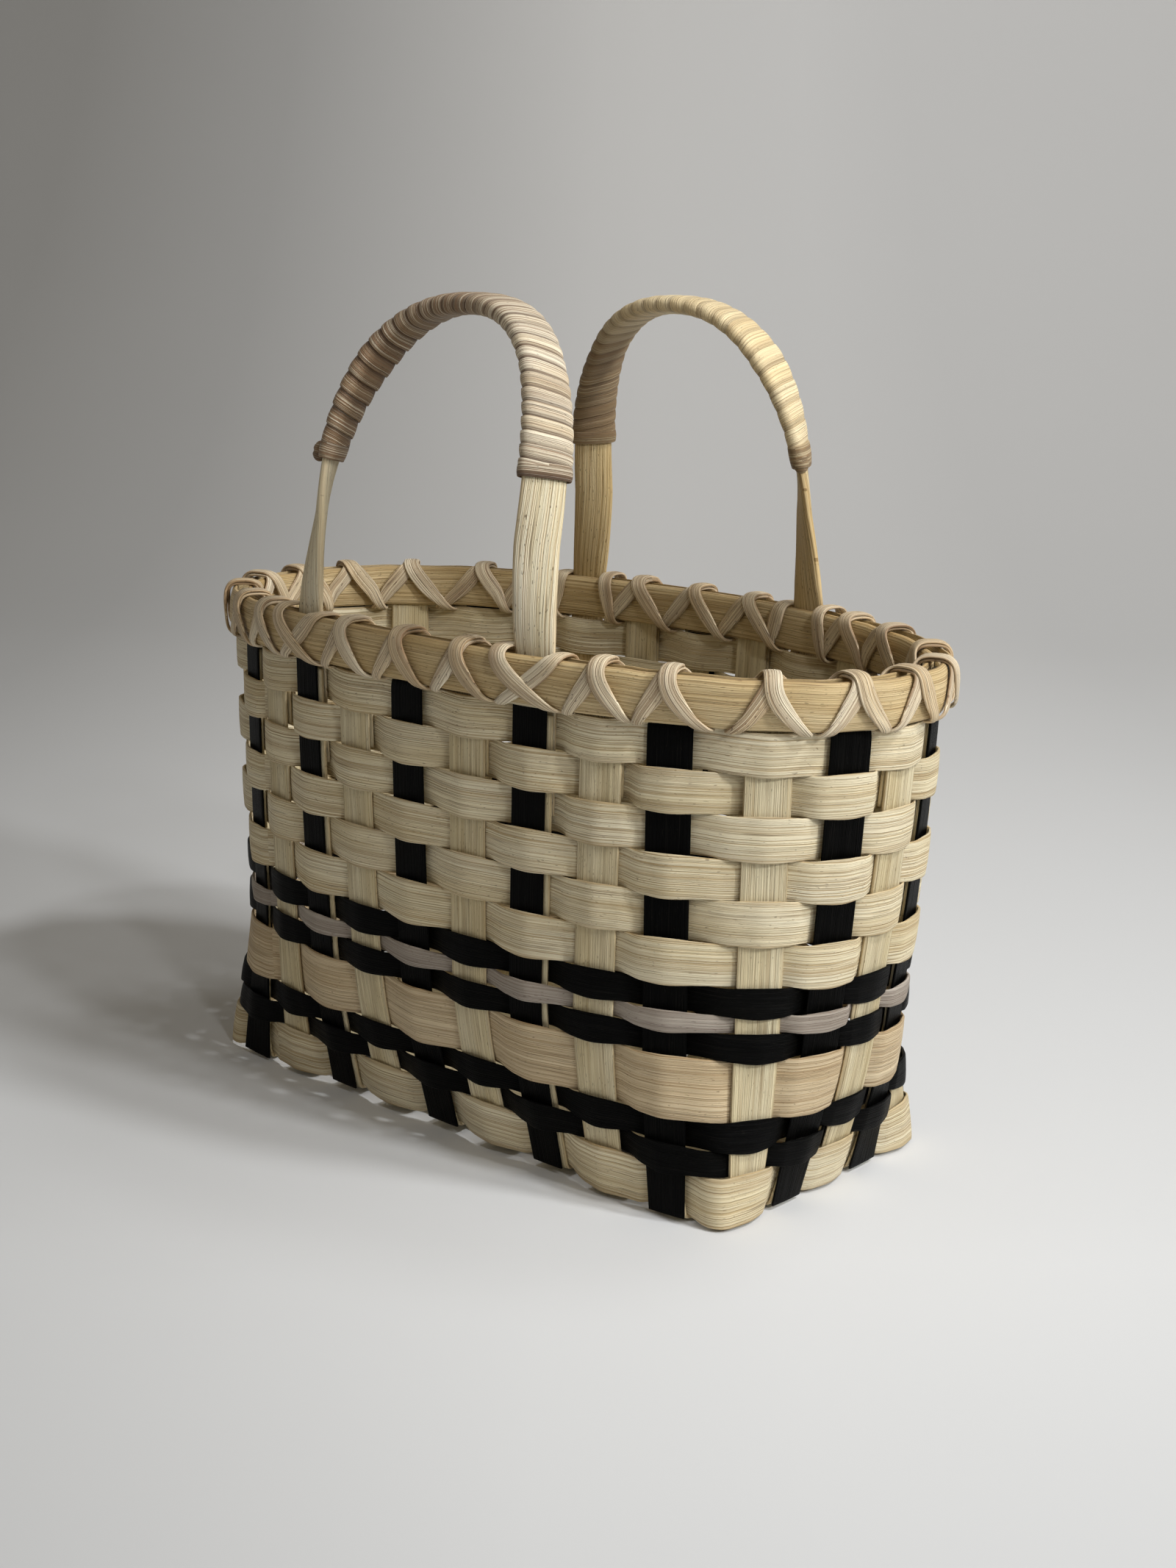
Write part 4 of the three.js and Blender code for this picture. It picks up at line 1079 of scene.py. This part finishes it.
# Each handle: its name, side, lean, seed, reed and wrap, how it is wound, and its knot
for name, sign, lean, seed, reed, wrap_reed, winding, knot in (
    ("front", -1, 28.0, 500, handle_reed, wrap_brown_and_shaded,
     (1, 30, 0.2, 0.0, 0.85), (False, 0.5, 4.4, (3.4, 4.0, 3.0))),
    ("back", 1, 16.0, 510, yellow_handle_reed, wrap_pale,
     (-1, 27, -0.25, 0.12, 0.4), (True, 7.4, 0.4, (2.7, 4.2, 3.2))),
):
    side = handle_side(name, sign, lean)
    parts = wrap_parts(side, *winding, seed + 5) + [knot_part(side, *knot, seed + 8)]
    add_piece(f"handle_{name}", reed, [handle_part(side, seed)])
    add_piece(f"handle_wrap_{name}", wrap_reed, parts)


def facing(azimuth, elevation):
    """The direction at this many degrees round from the front, towards the right end, and up."""
    a, e = math.radians(azimuth), math.radians(elevation)
    return np.array([math.sin(a) * math.cos(e), -math.cos(a) * math.cos(e), math.sin(e)])


# Camera, fitted to the photograph
AZIMUTH, ELEVATION, ROLL = 41.74, 13.47, math.radians(1.41)
DISTANCE = 847.6
AIM_ASIDE, AIM_HEIGHT = 10.37, 127.15
toward = facing(AZIMUTH, ELEVATION)
right = unit(np.cross(-toward, [0, 0, 1.0]))
upward = np.cross(right, -toward)
behind = unit(-toward[:2])
place = right * AIM_ASIDE + np.array([0, 0, AIM_HEIGHT]) + toward * DISTANCE
level = right * math.cos(ROLL) + upward * math.sin(ROLL)
raised = -right * math.sin(ROLL) + upward * math.cos(ROLL)
camera = bpy.data.objects.new("camera", bpy.data.cameras.new("camera"))
camera.data.sensor_fit = "VERTICAL"
camera.data.sensor_height = 36.0
camera.data.lens = 49.5
camera.data.clip_start = 0.01
turn = Matrix(np.stack([level, raised, toward], 1)).to_4x4()
camera.matrix_world = Matrix.Translation(Vector(place * MM)) @ turn
bpy.context.scene.collection.objects.link(camera)
bpy.context.scene.camera = camera

# Floor that curves up into a backdrop behind the basket, seen from the camera, in metres
FLOOR_NEAR, FLOOR_FAR, FLOOR_SIDE = -3.0, 3.0, 4.0
FLOOR_BEND, FLOOR_RISE = 1.9, 2.6
FLOOR_DROP = 0.0004  # keeps it clear of the lowest reed
bend_at = FLOOR_FAR - FLOOR_BEND
path = [(FLOOR_NEAR, 0.0), (bend_at, 0.0)]
for a in np.linspace(0, math.pi / 2, 24)[1:]:
    path.append((bend_at + FLOOR_BEND * math.sin(a), FLOOR_BEND - FLOOR_BEND * math.cos(a)))
path.append((FLOOR_FAR, FLOOR_RISE))
points = []
for away, z in path:
    for aside in (-FLOOR_SIDE, FLOOR_SIDE):
        points.append((*(behind * away + right[:2] * aside), z - FLOOR_DROP))
faces = [(2 * k, 2 * k + 1, 2 * k + 3, 2 * k + 2) for k in range(len(path) - 1)]
mesh = bpy.data.meshes.new("floor")
mesh.from_pydata(points, [], faces)
mesh.polygons.foreach_set("use_smooth", np.ones(len(faces), bool))
mesh.materials.append(floor_material())
floor = bpy.data.objects.new("floor", mesh)
bpy.context.scene.collection.objects.link(floor)

# Soft studio lamps: name, azimuth, elevation, distance, size and strength. A strength of 1 lights a
# surface that faces the lamp so that it shows its own colour.
LAMP_AIM = Vector((0, 0, 0.12))
for name, azimuth, elevation, distance, size, strength in (
    ("mid_key", 82, 50, 1.8, 0.14, 0.16),
    ("side_key", 95, 28, 1.8, 0.2, 0.42),
    ("low_key", 64, 33, 1.8, 0.14, 0.12),
    ("high_key", 105, 52, 1.8, 0.2, 0.34),
    ("overhead", 155, 68, 2.0, 0.5, 0.12),
):
    light = bpy.data.lights.new(name, "AREA")
    light.shape = "DISK"
    light.size = size
    light.energy = strength * (math.pi * distance) ** 2
    lamp = bpy.data.objects.new(name, light)
    way = Vector(facing(azimuth, elevation))
    lamp.location = LAMP_AIM + way * distance
    lamp.rotation_euler = way.to_track_quat("Z", "Y").to_euler()
    bpy.context.scene.collection.objects.link(lamp)

# The world: a warm, weak light all round, and a grey backdrop that only the camera's rays see
world = bpy.data.worlds.new("world")
bpy.context.scene.world = world
n = Nodes(world, "ShaderNodeOutputWorld")
ambient = n.add("ShaderNodeBackground", {"Color": (1.0, 0.87, 0.67, 1.0), "Strength": 0.18}).outputs[0]
backdrop = n.add("ShaderNodeBackground", {"Color": colour(184, 184, 183)}).outputs[0]
n.surface("ShaderNodeMixShader", {0: n.camera_share(), 1: ambient, 2: backdrop})

bpy.context.scene.view_settings.view_transform = "Standard"
